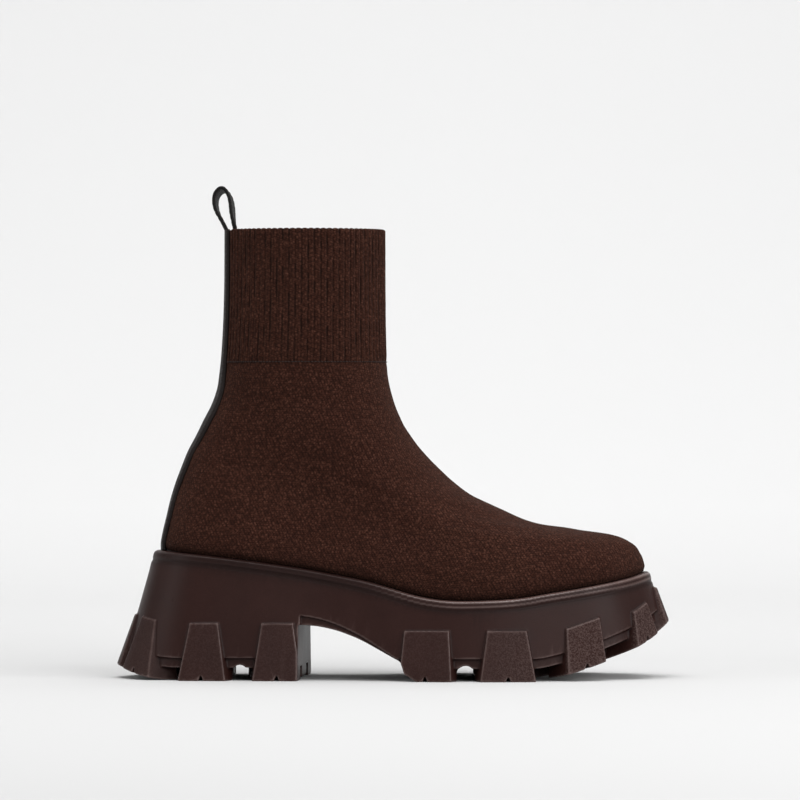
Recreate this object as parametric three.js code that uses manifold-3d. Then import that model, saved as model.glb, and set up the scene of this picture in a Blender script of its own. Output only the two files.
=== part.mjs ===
// Sock boot, right foot: a knitted upper with a ribbed cuff, on a moulded lug sole.
// Millimetres. X runs from heel to toe, Y to the inner side of the foot, Z up from the floor.
// The boot is built with its heel at X = 0, and the finished group is moved so that the middle
// of its footprint is at the origin.

import * as THREE from 'three';
import { mergeVertices } from 'three/addons/utils/BufferGeometryUtils.js';
import Module from 'manifold-3d';

const wasm = await Module();
wasm.setup();

// Driving sizes of the foot
const footLength = 257.3; // outside of the knit, heel to toe
const ballHalfWidth = 47; // outside of the knit, from the boot's line to the little toe joint
const heelRise = 68; // footbed above the floor at the heel
const ballRise = 42.3; // footbed above the floor at the ball
const toeRise = 56.5; // footbed above the floor at the toe
const ankleSet = 34; // shaft's back, ahead of the heel's back
const shaftDepth = 83.6;
const shaftWidth = 73;
const seamHeight = 168; // where the ribs of the cuff begin
const collarHeight = 239;

// Driving sizes of the knit and its trim
const knitWall = 2;
const ribPitch = 3.15; // middle to middle round the cuff
const ribDepth = 0.65;
const ribFoot = 0.15; // bottom of a rib, outside the plain knit
const cuffStep = 1.2; // height of the step where the ribs begin
const stripThickness = 1.5;
const stripTopWidth = 19;
const stripAnkleWidth = 25;
const stripFootWidth = 18;
const insoleThickness = 2;
const clearance = 0.3; // between pieces that touch
const insoleMargin = 0.6; // between the insole's edge and the knit

// Driving sizes of the pull loop
const loopTapeThickness = 1.6;
const loopTapeWidth = 14;
const loopHeight = 22; // above the collar
const loopSpread = 9.2; // across the eye, middle to middle of the tape
const loopLegLength = 13; // sewn down inside the collar
const loopYaw = 0.12; // the slack tape turns and rolls a little, as tangents
const loopRoll = 0.15;

// Driving sizes of the sole
const rimStandSide = 4; // rim outside the knit
const rimStandHeel = 7.4;
const rimStandToe = 4.6;
const rimHeight = 6.2; // bead and groove together
const wallFlareSide = 0.1; // run out for each millimetre down
const wallFlareEnd = 0.28;
const stepHeight = 12; // above the tread's underside
const stepInset = 2.2;
const grooveDepth = 6.8;
const heelFlatStart = 9; // where the heel's underside comes down flat
const heelBevelRise = 7;
const heelBevelLength = 33;
const toeSpringLength = 63.9; // behind the front of the rim
const toeSpringRise = 20.8;
const toeTipLift = 2.4; // the tip of the toe turns up by this much more
const heelLugShare = 0.4067; // widest lug of the heel at the floor, of the heel's length
const treadLugShare = 0.2424; // widest lug of the tread at the floor, of the tread's length
const lugHeight = 30.5; // tallest lug
const lugProudTop = 0.9;
const lugProudFoot = 3.3;
const lugReach = 20; // inward from the wall
const lugBevel = 1.6;
const notchWidth = 2.8;
const notchHeight = 3.4;
const notchDepth = 12;
const tunnelRise = 8.3; // top of a tunnel above the floor
const padInset = 27; // middle tread pads, inside the sole's edge
const padShy = 1; // above the lugs' feet
const padHeight = 9;
const heelLength = 75; // from the back of the knit to the heel's breast
const breastSlant = 0.07; // forward for each millimetre to the inner side
const archLength = 56.5; // from the breast to the front tread
const archHeight = 29.5;
const archLipHeight = 5;
const archLipInset = 1.4;

// Curves that the sizes follow, as powers: higher ones bend later and more sharply
const heelBevelCurve = 2.2;
const toeSpringCurve = 1.3;
const toeTipCurve = 8;
const cuffCurve = 3; // how soon the cuff turns upright above its seam
const endCurve = 1.5; // how soon the sides' rim turns into the heel's and the toe's
const heelWidthEnd = 0.1; // shares of the foot's length where the heel's width gives way
const ballWidthStart = 0.6; // to the ball's

// Fineness of the meshes
const shaftGirth = Math.PI * (shaftDepth + shaftWidth) / 2;
const knitColumns = 2 * Math.round(shaftGirth / (3 * ribPitch)); // three columns of the cuff on each
const ribColumns = 3 * knitColumns; // a rib and the furrow beside it are two columns
const knitRings = 21;
const knitRingCrowding = 1.15; // closer together towards the footbed
const cuffRings = 3;
const soleColumns = 64;
const stripSteps = 16;
const loopSteps = 36;
const loopSideSteps = 4;
const tunnelSides = 20;
const slopeStep = 0.01; // of a turn or a share, for slopes
const slopeReach = 1; // along the boot, for the tread's slope
const heightRounds = 4; // for a height that depends on where it ends up
const mergeReach = 1e-4;
const cutOverrun = 2; // cutters run past what they cut
const stepSlope = 0.4; // height of the step's bevel
const fullTurn = 2 * Math.PI;

// Plan outline of the foot at the footbed. at is the share of the length from the heel; outer
// and inner are the sides' distances from the boot's line as shares of the ball's half width.
const planTable = [
  { at: 0, outer: 0, inner: 0 },
  { at: 0.02, outer: 0.36, inner: 0.35 },
  { at: 0.08, outer: 0.615, inner: 0.6 },
  { at: 0.2, outer: 0.7, inner: 0.67 },
  { at: 0.35, outer: 0.76, inner: 0.635 },
  { at: 0.5, outer: 0.895, inner: 0.7 },
  { at: 0.62, outer: 1, inner: 0.85 },
  { at: 0.72, outer: 0.98, inner: 0.945 },
  { at: 0.82, outer: 0.84, inner: 0.925 },
  { at: 0.91, outer: 0.595, inner: 0.775 },
  { at: 0.97, outer: 0.265, inner: 0.53 },
  { at: 1, outer: -0.13, inner: 0.13 },
];

// Footbed seen from the side. heel and toe are shares of the rises above the ball.
const seatTable = [
  { at: 0, heel: 1, toe: 0 },
  { at: 0.115, heel: 0.885, toe: 0 },
  { at: 0.265, heel: 0.685, toe: 0 },
  { at: 0.36, heel: 0.52, toe: 0 },
  { at: 0.43, heel: 0.375, toe: 0 },
  { at: 0.52, heel: 0.115, toe: 0 },
  { at: 0.57, heel: 0.025, toe: 0 },
  { at: 0.62, heel: 0, toe: 0 },
  { at: 0.72, heel: 0, toe: 0.075 },
  { at: 0.8, heel: 0, toe: 0.285 },
  { at: 0.88, heel: 0, toe: 0.51 },
  { at: 0.96, heel: 0, toe: 0.79 },
  { at: 1, heel: 0, toe: 1 },
];

// Rings of the knit from the footbed (up = 0) to the cuff's seam (up = 1).
// backIn: back of the ring, as a share of the ankle's set.
// backUp: its height, as a share of heel rise to seam.
// frontOut: front of the ring, as a share of shaft front to toe.
// frontUp: its height, as a share of toe rise to seam.
// sink: how far the ring sags with the footbed.
// heel, ball: widths as shares of the plan outline.
// shaft: share of the shaft's oval in the ring.
const ringTable = [
  { up: 0, backIn: 0, backUp: 0, frontOut: 1, frontUp: 0,
    sink: 1, heel: 1, ball: 1, shaft: 0 },
  { up: 0.05, backIn: 0, backUp: 0.04, frontOut: 0.996, frontUp: 0.036,
    sink: 0.98, heel: 1.02, ball: 1.02, shaft: 0 },
  { up: 0.12, backIn: 0.04, backUp: 0.11, frontOut: 0.982, frontUp: 0.081,
    sink: 0.92, heel: 1.01, ball: 1.01, shaft: 0 },
  { up: 0.19, backIn: 0.09, backUp: 0.18, frontOut: 0.948, frontUp: 0.134,
    sink: 0.8, heel: 0.98, ball: 0.97, shaft: 0.01 },
  { up: 0.26, backIn: 0.145, backUp: 0.26, frontOut: 0.879, frontUp: 0.173,
    sink: 0.6, heel: 0.94, ball: 0.91, shaft: 0.03 },
  { up: 0.35, backIn: 0.225, backUp: 0.35, frontOut: 0.738, frontUp: 0.2,
    sink: 0.35, heel: 0.9, ball: 0.85, shaft: 0.08 },
  { up: 0.44, backIn: 0.325, backUp: 0.44, frontOut: 0.572, frontUp: 0.233,
    sink: 0.15, heel: 0.86, ball: 0.79, shaft: 0.18 },
  { up: 0.52, backIn: 0.42, backUp: 0.52, frontOut: 0.441, frontUp: 0.302,
    sink: 0.05, heel: 0.84, ball: 0.75, shaft: 0.32 },
  { up: 0.6, backIn: 0.545, backUp: 0.6, frontOut: 0.31, frontUp: 0.385,
    sink: 0, heel: 0.82, ball: 0.72, shaft: 0.48 },
  { up: 0.68, backIn: 0.66, backUp: 0.68, frontOut: 0.206, frontUp: 0.496,
    sink: 0, heel: 0.8, ball: 0.7, shaft: 0.65 },
  { up: 0.77, backIn: 0.795, backUp: 0.77, frontOut: 0.115, frontUp: 0.623,
    sink: 0, heel: 0.8, ball: 0.7, shaft: 0.82 },
  { up: 0.86, backIn: 0.885, backUp: 0.86, frontOut: 0.053, frontUp: 0.76,
    sink: 0, heel: 0.8, ball: 0.7, shaft: 0.94 },
  { up: 0.94, backIn: 0.92, backUp: 0.94, frontOut: 0.02, frontUp: 0.89,
    sink: 0, heel: 0.8, ball: 0.7, shaft: 1 },
  { up: 1, backIn: 0.94, backUp: 1, frontOut: 0.006, frontUp: 1,
    sink: 0, heel: 0.8, ball: 0.7, shaft: 1 },
];

// Side of the rim, from the wall up to its top edge, as shares of the rim's height: drop below
// the footbed, run out from the rim, and the run out at heel and toe, with a rounder shoulder.
const rimTable = [
  { drop: 1, out: -0.13, endOut: -0.1 },
  { drop: 0.86, out: -0.2, endOut: -0.2 },
  { drop: 0.7, out: -0.16, endOut: -0.24 },
  { drop: 0.58, out: -0.02, endOut: -0.22 },
  { drop: 0.36, out: 0, endOut: -0.28 },
  { drop: 0.16, out: -0.12, endOut: -0.42 },
  { drop: 0.03, out: -0.32, endOut: -0.58 },
  { drop: 0, out: -0.5, endOut: -0.68 },
];

// Lugs round the heel. outer and inner are their places on the two sides, as shares of the
// heel's length; foot and top are widths as shares of the lug width, tall of the lug height.
const heelLugTable = [
  { outer: 0.055, inner: 0.055, foot: 0.79, top: 0.38, tall: 0.935 },
  { outer: 0.322, inner: 0.336, foot: 0.885, top: 0.51, tall: 1 },
  { outer: 0.822, inner: 0.91, foot: 0.92, top: 0.575, tall: 1 },
];

// Lugs round the front tread, placed by shares of the way from the arch's end to the toe.
const treadLugTable = [
  { outer: 0.075, inner: 0.118, foot: 0.985, top: 0.805, tall: 0.885 },
  { outer: 0.399, inner: 0.457, foot: 1.03, top: 0.71, tall: 0.885 },
  { outer: 0.704, inner: 0.743, foot: 0.79, top: 0.66, tall: 0.785 },
  { outer: 0.926, inner: 0.919, foot: 0.655, top: 0.425, tall: 0.58 },
];

// One lug in the middle of the heel's back and one at the tip of the toe.
const backLug = { foot: 0.82, top: 0.49, tall: 0.85 };
const tipLug = { foot: 0.655, top: 0.425, tall: 0.575 };

// Tunnels that run right across, between two lugs of each side. They are placed as the lugs are.
const heelTunnel = { at: 0.553, width: 8 };
const treadTunnel = { at: 0.2305, width: 9.5 };

// Underside of the arch, from the heel's breast to the tread. at is the share of the way,
// rise the share of the arch's height.
const archTable = [
  { at: 0, rise: 1 },
  { at: 0.2, rise: 0.97 },
  { at: 0.38, rise: 0.89 },
  { at: 0.58, rise: 0.745 },
  { at: 0.74, rise: 0.58 },
  { at: 0.9, rise: 0.41 },
  { at: 0.97, rise: 0.34 },
  { at: 1, rise: 0.14 },
  { at: 1.12, rise: 0 },
];

// Middle line of the loop's tape above the collar, as shares of its spread and its height.
// across is measured from midway between the legs towards the inner one.
const loopTable = [
  { across: -0.47, high: 0.2 },
  { across: -0.72, high: 0.42 },
  { across: -0.83, high: 0.64 },
  { across: -0.76, high: 0.83 },
  { across: -0.5, high: 0.955 },
  { across: -0.22, high: 0.945 },
  { across: 0, high: 0.8 },
  { across: 0.12, high: 0.59 },
  { across: 0.16, high: 0.34 },
  { across: 0.2, high: 0.14 },
];

// Smooth curve through the rows of a table, by cubic pieces between neighbouring rows.
function through(rows, keyOf, valueOf, key) {
  let next = rows.findIndex((row) => keyOf(row) >= key);
  if (next < 0) next = rows.length - 1;
  if (next < 1) next = 1;
  const before = rows[Math.max(next - 2, 0)];
  const low = rows[next - 1];
  const high = rows[next];
  const after = rows[Math.min(next + 1, rows.length - 1)];
  const span = keyOf(high) - keyOf(low);
  const slopeLow = (valueOf(high) - valueOf(before)) / (keyOf(high) - keyOf(before));
  const slopeHigh = (valueOf(after) - valueOf(low)) / (keyOf(after) - keyOf(low));
  const s = (key - keyOf(low)) / span;
  const rise = s * s * (3 - 2 * s);
  return valueOf(low) * (1 - rise) + valueOf(high) * rise
    + span * s * (1 - s) * ((1 - s) * slopeLow - s * slopeHigh);
}

// The plan table as one closed round: keys are turns round the foot, values are sideways.
const angleOf = (at) => Math.acos(1 - 2 * at);
const planOuter = planTable.map((row) => ({ turn: angleOf(row.at), y: -row.outer * ballHalfWidth }));
const planInner = planTable.map((row) => {
  return { turn: fullTurn - angleOf(row.at), y: row.inner * ballHalfWidth };
});
planInner.reverse();
const planRound = [
  { turn: planInner[planInner.length - 2].turn - fullTurn, y: planInner[planInner.length - 2].y },
  ...planOuter,
  ...planInner.slice(1),
  { turn: planOuter[1].turn + fullTurn, y: planOuter[1].y },
];

function planSide(turn) {
  return through(planRound, (row) => row.turn, (row) => row.y, turn);
}

// Share of the way from heel to toe for a turn round the foot.
const alongOf = (turn) => (1 - Math.cos(turn)) / 2;

function seatHeight(x) {
  const at = THREE.MathUtils.clamp(x / footLength, 0, 1);
  const heel = through(seatTable, (row) => row.at, (row) => row.heel, at);
  const toe = through(seatTable, (row) => row.at, (row) => row.toe, at);
  return ballRise + heel * (heelRise - ballRise) + toe * (toeRise - ballRise);
}

// The upper's own form: the outside of the knit at a turn round the foot and a share up.
function ringAt(up) {
  const column = (name) => through(ringTable, (row) => row.up, (row) => row[name], Math.min(up, 1));
  const shaftFront = ankleSet + shaftDepth;
  const backX = column('backIn') * ankleSet;
  const frontX = shaftFront + column('frontOut') * (footLength - shaftFront);
  const backZ = heelRise + column('backUp') * (seamHeight - heelRise);
  const frontZ = toeRise + column('frontUp') * (seamHeight - toeRise);
  const cuffShare = Math.max(up - 1, 0);
  const cuffRise = cuffShare * (collarHeight - seamHeight);
  const straighten = 1 - (1 - Math.min(cuffShare, 1)) ** cuffCurve;
  return {
    backX: THREE.MathUtils.lerp(backX, ankleSet, straighten),
    frontX: THREE.MathUtils.lerp(frontX, shaftFront, straighten),
    backZ: backZ + cuffRise,
    frontZ: frontZ + cuffRise,
    sink: column('sink'),
    heel: column('heel'),
    ball: column('ball'),
    shaft: column('shaft'),
  };
}

function formPoint(turn, up) {
  const ring = ringAt(up);
  const along = alongOf(turn);
  const chordX = THREE.MathUtils.lerp(ring.backX, ring.frontX, along);
  const chordZ = THREE.MathUtils.lerp(ring.backZ, ring.frontZ, along);
  const sag = seatHeight(along * footLength) - THREE.MathUtils.lerp(heelRise, toeRise, along);
  const ballShare = THREE.MathUtils.smoothstep(along, heelWidthEnd, ballWidthStart);
  const spread = THREE.MathUtils.lerp(ring.heel, ring.ball, ballShare);
  const footSide = planSide(turn) * spread;
  const shaftSide = -Math.sin(turn) * shaftWidth / 2;
  const side = THREE.MathUtils.lerp(footSide, shaftSide, ring.shaft);
  return new THREE.Vector3(chordX, side, chordZ + sag * ring.sink);
}

// Outward direction of the form, from its slopes round and up.
function formNormal(turn, up) {
  const low = Math.max(up - slopeStep, 0);
  const roundWay = formPoint(turn + slopeStep, up).sub(formPoint(turn - slopeStep, up));
  const upWay = formPoint(turn, up + slopeStep).sub(formPoint(turn, low));
  return roundWay.cross(upWay).normalize();
}

// The form grown by an offset. Its lowest ring stays on the footbed and its highest ring level.
function grownPoint(turn, up, offset) {
  const point = formPoint(turn, up);
  const normal = formNormal(turn, up);
  const levelled = up <= 0 || up >= 1;
  if (levelled) normal.setZ(0).normalize();
  point.addScaledVector(normal, offset);
  if (up <= 0) point.z = seatHeight(point.x) + clearance;
  return point;
}

function grownRing(columns, up, offset) {
  return Array.from({ length: columns }, (_, j) => grownPoint(fullTurn * j / columns, up, offset));
}

// Share up of a ring of the knit, counted from the footbed
function ringUp(i) {
  return (i / (knitRings - 1)) ** knitRingCrowding;
}

// Meshes from rings of points. Rings follow one another upwards, or down the inside.
function joinRings(faces, low, high) {
  const ratio = Math.max(low.length, high.length) / Math.min(low.length, high.length);
  const count = Math.min(low.length, high.length);
  for (let j = 0; j < count; j += 1) {
    const next = (j + 1) % count;
    if (ratio === 1) {
      faces.push([low[j], low[next], high[next]], [low[j], high[next], high[j]]);
    } else if (low.length < high.length) {
      const middle = j * ratio + Math.floor(ratio / 2);
      for (let k = 0; k < ratio; k += 1) {
        const here = j * ratio + k;
        const there = (here + 1) % high.length;
        const foot = here < middle ? low[j] : low[next];
        if (here === middle) faces.push([low[j], low[next], high[here]]);
        faces.push([foot, high[there], high[here]]);
      }
    } else {
      const middle = j * ratio + Math.floor(ratio / 2);
      for (let k = 0; k < ratio; k += 1) {
        const here = j * ratio + k;
        const there = (here + 1) % low.length;
        const head = here < middle ? high[j] : high[next];
        if (here === middle) faces.push([low[here], high[next], high[j]]);
        faces.push([low[here], low[there], head]);
      }
    }
  }
}

// A ladder of triangles across a ring, from heel to toe. It faces up, or down when turned.
function capRing(faces, ring, facesDown) {
  const half = ring.length / 2;
  for (let j = 0; j < half; j += 1) {
    const a = ring[j];
    const b = ring[j + 1];
    const c = ring[(ring.length - j - 1) % ring.length];
    const d = ring[(ring.length - j) % ring.length];
    const step = [];
    if (j < half - 1) step.push([a, b, c]);
    if (j === half - 1) step.push([a, b, d]);
    if (j > 0 && j < half - 1) step.push([a, c, d]);
    step.forEach((face) => faces.push(facesDown ? face.reverse() : face));
  }
}

function geometryFrom(faces) {
  const positions = new Float32Array(faces.flat().flatMap((point) => [point.x, point.y, point.z]));
  const geometry = new THREE.BufferGeometry();
  geometry.setAttribute('position', new THREE.BufferAttribute(positions, 3));
  return mergeVertices(geometry, mergeReach);
}

// A solid stacked from rings, closed with a ladder at both ends.
function stackRings(rings) {
  const faces = [];
  capRing(faces, rings[0], true);
  for (let i = 1; i < rings.length; i += 1) joinRings(faces, rings[i - 1], rings[i]);
  capRing(faces, rings[rings.length - 1], false);
  return geometryFrom(faces);
}

// Cutting and joining
function solidFrom(geometry) {
  const bare = geometry.clone();
  bare.deleteAttribute('normal');
  bare.deleteAttribute('uv');
  const merged = mergeVertices(bare, mergeReach);
  const mesh = new wasm.Mesh({
    numProp: 3,
    vertProperties: new Float32Array(merged.attributes.position.array),
    triVerts: new Uint32Array(merged.index.array),
  });
  return new wasm.Manifold(mesh);
}

function geometryOf(solid) {
  const mesh = solid.getMesh();
  const geometry = new THREE.BufferGeometry();
  geometry.setAttribute('position', new THREE.BufferAttribute(mesh.vertProperties, mesh.numProp));
  geometry.setIndex(new THREE.BufferAttribute(mesh.triVerts, 1));
  return geometry;
}

// Upper: outside rings up to the collar, then inside rings down to the footbed again
function stripHalfWidth(z) {
  const rows = [
    { z: heelRise, half: stripFootWidth / 2 },
    { z: (heelRise + seamHeight) / 2, half: (stripFootWidth + stripAnkleWidth) / 4 },
    { z: (heelRise + 3 * seamHeight) / 4, half: stripAnkleWidth / 2 },
    { z: seamHeight, half: (stripTopWidth + stripAnkleWidth) / 4 },
    { z: collarHeight, half: stripTopWidth / 2 },
  ];
  const height = THREE.MathUtils.clamp(z, heelRise, collarHeight);
  return through(rows, (row) => row.z, (row) => row.half, height);
}

// Ribs stand out all round the cuff, and lie flat under the back strip.
function ribRing(up) {
  return Array.from({ length: ribColumns }, (_, j) => {
    const turn = fullTurn * j / ribColumns;
    const plain = grownPoint(turn, up, 0);
    const underStrip = Math.cos(turn) > 0 && Math.abs(plain.y) < stripHalfWidth(plain.z) + 2 * ribDepth;
    if (underStrip) return plain;
    return grownPoint(turn, up, ribFoot + (j % 2) * ribDepth);
  });
}

function makeUpper() {
  const rings = [];
  for (let i = 0; i < knitRings; i += 1) rings.push(grownRing(knitColumns, ringUp(i), 0));
  const stepShare = cuffStep / (collarHeight - seamHeight);
  for (let i = 0; i < cuffRings; i += 1) {
    rings.push(ribRing(1 + THREE.MathUtils.lerp(stepShare, 1, i / (cuffRings - 1))));
  }
  for (let i = cuffRings - 1; i > 0; i -= 1) {
    rings.push(grownRing(knitColumns, 1 + i / (cuffRings - 1), -knitWall));
  }
  for (let i = knitRings - 1; i >= 0; i -= 1) {
    rings.push(grownRing(knitColumns, ringUp(i), -knitWall));
  }
  const faces = [];
  rings.forEach((ring, i) => joinRings(faces, ring, rings[(i + 1) % rings.length]));
  return geometryFrom(faces);
}

// Back strip: a band cut between two larger forms of the knit
function fullForm(offset, overrun) {
  const rings = [];
  const floorRing = grownRing(knitColumns, 0, offset);
  rings.push(floorRing.map((point) => point.clone().setZ(point.z - overrun)));
  for (let i = 1; i < knitRings; i += 1) {
    rings.push(grownRing(knitColumns, ringUp(i), offset));
  }
  const collarUp = 2;
  const collarRing = grownRing(knitColumns, collarUp, offset);
  rings.push(collarRing.map((point) => point.clone().setZ(point.z + overrun)));
  return stackRings(rings);
}

function makeBackStrip() {
  const edge = Array.from({ length: stripSteps + 1 }, (_, i) => {
    const z = THREE.MathUtils.lerp(heelRise - cutOverrun, collarHeight + cutOverrun, i / stripSteps);
    return new THREE.Vector2(stripHalfWidth(z), z);
  });
  const otherEdge = edge.map((point) => new THREE.Vector2(-point.x, point.y)).reverse();
  const band = new THREE.Shape([...edge, ...otherEdge]);
  const start = -clearance - stripThickness - cutOverrun;
  const depth = ankleSet + shaftDepth / 3 - start;
  const cutter = new THREE.ExtrudeGeometry(band, { depth, bevelEnabled: false });
  // The band's own axes turn to Y and Z, and its depth to X.
  cutter.applyMatrix4(new THREE.Matrix4().set(0, 0, 1, start, 1, 0, 0, 0, 0, 1, 0, 0, 0, 0, 0, 1));
  const inside = solidFrom(fullForm(clearance, cutOverrun));
  const outside = solidFrom(fullForm(clearance + stripThickness, 0));
  return geometryOf(outside.subtract(inside).intersect(solidFrom(cutter)));
}

// Pull loop: a tape bent on edge, with one leg on the strip and one inside the collar
function makePullLoop() {
  const outerLegX = ankleSet - clearance - stripThickness / 2;
  const innerLegX = ankleSet + knitWall + clearance + loopTapeThickness / 2;
  const middleX = (outerLegX + innerLegX) / 2;
  const points = [new THREE.Vector2(outerLegX, collarHeight + clearance)];
  loopTable.forEach((row) => {
    points.push(new THREE.Vector2(middleX + row.across * loopSpread, collarHeight + row.high * loopHeight));
  });
  points.push(new THREE.Vector2(innerLegX + clearance, collarHeight));
  points.push(new THREE.Vector2(innerLegX + clearance, collarHeight - loopLegLength));
  const line = new THREE.SplineCurve(points);
  const left = [];
  const right = [];
  for (let i = 0; i <= loopSteps; i += 1) {
    const point = line.getPoint(i / loopSteps);
    const way = line.getTangent(i / loopSteps);
    const across = new THREE.Vector2(-way.y, way.x).multiplyScalar(loopTapeThickness / 2);
    left.push(point.clone().add(across));
    right.push(point.clone().sub(across));
  }
  left[0].y = collarHeight + clearance;
  right[0].y = collarHeight + clearance;
  const outline = new THREE.Shape([...left, ...right.reverse()]);
  const tape = new THREE.ExtrudeGeometry(outline, {
    depth: loopTapeWidth,
    steps: loopSideSteps,
    bevelEnabled: false,
  });
  tape.applyMatrix4(new THREE.Matrix4().set(1, 0, 0, 0, 0, 0, -1, loopTapeWidth / 2, 0, 1, 0, 0, 0, 0, 0, 1));
  // Low down the tape follows the round of the collar, and higher up it turns and rolls.
  const backRound = (shaftWidth / 2) ** 2 / (shaftDepth / 2);
  const place = tape.attributes.position;
  for (let i = 0; i < place.count; i += 1) {
    const y = place.getY(i);
    const z = place.getZ(i);
    const free = THREE.MathUtils.smoothstep(z, collarHeight, collarHeight + loopHeight / 2);
    const hug = y * y / (2 * backRound);
    place.setX(i, place.getX(i) + hug * (1 - free) + y * loopYaw * free);
    place.setZ(i, z - y * loopRoll * free);
  }
  return geometryOf(solidFrom(tape));
}

// Insole: a board on the footbed, inside the knit
function makeInsole() {
  const bottom = grownRing(knitColumns, 0, -knitWall - insoleMargin);
  const top = bottom.map((point) => point.clone().setZ(point.z + insoleThickness));
  return stackRings([bottom, top]);
}

// Sole outline: the footbed's outline moved out level, by more at heel and toe than at the sides
function soleEdge(turn) {
  const way = formPoint(turn + slopeStep, 0).sub(formPoint(turn - slopeStep, 0)).setZ(0).normalize();
  const out = new THREE.Vector3(way.y, -way.x, 0);
  const endShare = Math.abs(out.x) ** endCurve;
  const endStand = out.x > 0 ? rimStandToe : rimStandHeel;
  const foot = formPoint(turn, 0);
  return {
    rim: foot.clone().addScaledVector(out, THREE.MathUtils.lerp(rimStandSide, endStand, endShare)),
    out,
    flare: THREE.MathUtils.lerp(wallFlareSide, wallFlareEnd, endShare),
    endShare,
    top: seatHeight(foot.x),
  };
}

// Underside of the tread: flat under heel and ball, bevelled at the back, sprung at the toe
function treadHeight(x) {
  const behind = Math.max(heelFlatStart - x, 0) / heelBevelLength;
  const toeFlatEnd = footLength + rimStandToe - toeSpringLength;
  const ahead = Math.max(x - toeFlatEnd, 0) / toeSpringLength;
  const spring = toeSpringRise * ahead ** toeSpringCurve + toeTipLift * ahead ** toeTipCurve;
  return heelBevelRise * behind ** heelBevelCurve + spring;
}

function treadSlope(x) {
  return (treadHeight(x + slopeReach) - treadHeight(x - slopeReach)) / (2 * slopeReach);
}

// A point of the wall at a height, moved out by proud. The wall runs out on its way down.
function wallPoint(turn, height, proud) {
  const edge = soleEdge(turn);
  const wallTop = edge.top - rimHeight;
  const run = (wallTop - height) * edge.flare + rimTable[0].out * rimHeight + proud;
  return edge.rim.clone().addScaledVector(edge.out, run).setZ(height);
}

// The same at a height above the underside of the tread, which follows where the point ends up
function wallPointAbove(turn, above, proud) {
  let height = treadHeight(soleEdge(turn).rim.x) + above;
  for (let i = 0; i < heightRounds; i += 1) {
    height = treadHeight(wallPoint(turn, height, proud).x) + above;
  }
  return wallPoint(turn, height, proud);
}

function soleRing(pointAt) {
  return Array.from({ length: soleColumns }, (_, j) => pointAt(fullTurn * j / soleColumns));
}

function rimRing(row) {
  return soleRing((turn) => {
    const edge = soleEdge(turn);
    const run = THREE.MathUtils.lerp(row.out, row.endOut, edge.endShare) * rimHeight;
    const point = edge.rim.clone().addScaledVector(edge.out, run);
    return point.setZ(edge.top - row.drop * rimHeight);
  });
}

function soleBody() {
  const rings = [
    soleRing((turn) => wallPointAbove(turn, grooveDepth, -stepInset)),
    soleRing((turn) => wallPointAbove(turn, stepHeight - stepSlope, -stepInset)),
    soleRing((turn) => wallPointAbove(turn, stepHeight, 0)),
    ...rimTable.map(rimRing),
  ];
  return solidFrom(stackRings(rings));
}

// Places of the lugs and tunnels along the boot
function heelPlace(at) {
  return at * heelLength;
}

function treadPlace(at) {
  const archEnd = heelLength + archLength;
  return THREE.MathUtils.lerp(archEnd, footLength, at);
}

// Every lug with the turn round the foot where it stands and the width that its shares are of
function placedLugs() {
  const heelWidth = heelLugShare * heelLength;
  const treadWidth = treadLugShare * (treadPlace(1) - treadPlace(0));
  const lugs = [
    { turn: 0, width: heelWidth, ...backLug },
    { turn: Math.PI, width: treadWidth, ...tipLug },
  ];
  const placeBoth = (row, place, width) => {
    const outerTurn = angleOf(place(row.outer) / footLength);
    const innerTurn = fullTurn - angleOf(place(row.inner) / footLength);
    lugs.push({ turn: outerTurn, width, ...row }, { turn: innerTurn, width, ...row });
  };
  heelLugTable.forEach((row) => placeBoth(row, heelPlace, heelWidth));
  treadLugTable.forEach((row) => placeBoth(row, treadPlace, treadWidth));
  return lugs;
}

// Everything that the lugs may fill
function lugEnvelope() {
  const rings = [
    soleRing((turn) => wallPointAbove(turn, 0, lugProudFoot)),
    soleRing((turn) => wallPointAbove(turn, lugHeight + 2 * lugBevel, lugProudTop)),
  ];
  return solidFrom(stackRings(rings));
}

// A block with six flat sides, whose top follows the tread. It is wide inside and narrow outside,
// so that its flanks are bevelled
function lugBlock(lug) {
  const edge = soleEdge(lug.turn);
  const foot = wallPointAbove(lug.turn, 0, lugProudFoot);
  const along = new THREE.Vector3(-edge.out.y, edge.out.x, 0);
  const lean = along.x * treadSlope(foot.x);
  const corner = (side, inward, height, width) => foot.clone()
    .addScaledVector(along, side * width / 2)
    .addScaledVector(edge.out, -inward)
    .setZ(height + lean * side * width / 2);
  const footWidth = lug.foot * lug.width;
  const topWidth = lug.top * lug.width;
  const tall = lug.tall * lugHeight;
  const below = lugReach / 2;
  const outside = -2 * lugBevel;
  const narrow = lugBevel * (1 - outside / lugProudFoot) / 2;
  const blockRing = (height, width, lift) => [
    corner(-1, lugReach, height + lift, width + 2 * lugBevel),
    corner(-1, outside, height - lift, width - 2 * narrow),
    corner(1, outside, height - lift, width - 2 * narrow),
    corner(1, lugReach, height + lift, width + 2 * lugBevel),
  ];
  const slope = (footWidth - topWidth) / tall;
  const faces = [];
  const low = blockRing(foot.z - below, footWidth + slope * below, 0);
  const high = blockRing(foot.z + tall, topWidth, lugBevel);
  joinRings(faces, low, high);
  faces.push([low[0], low[2], low[1]], [low[0], low[3], low[2]]);
  faces.push([high[0], high[1], high[2]], [high[0], high[2], high[3]]);
  return solidFrom(geometryFrom(faces));
}

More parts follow.
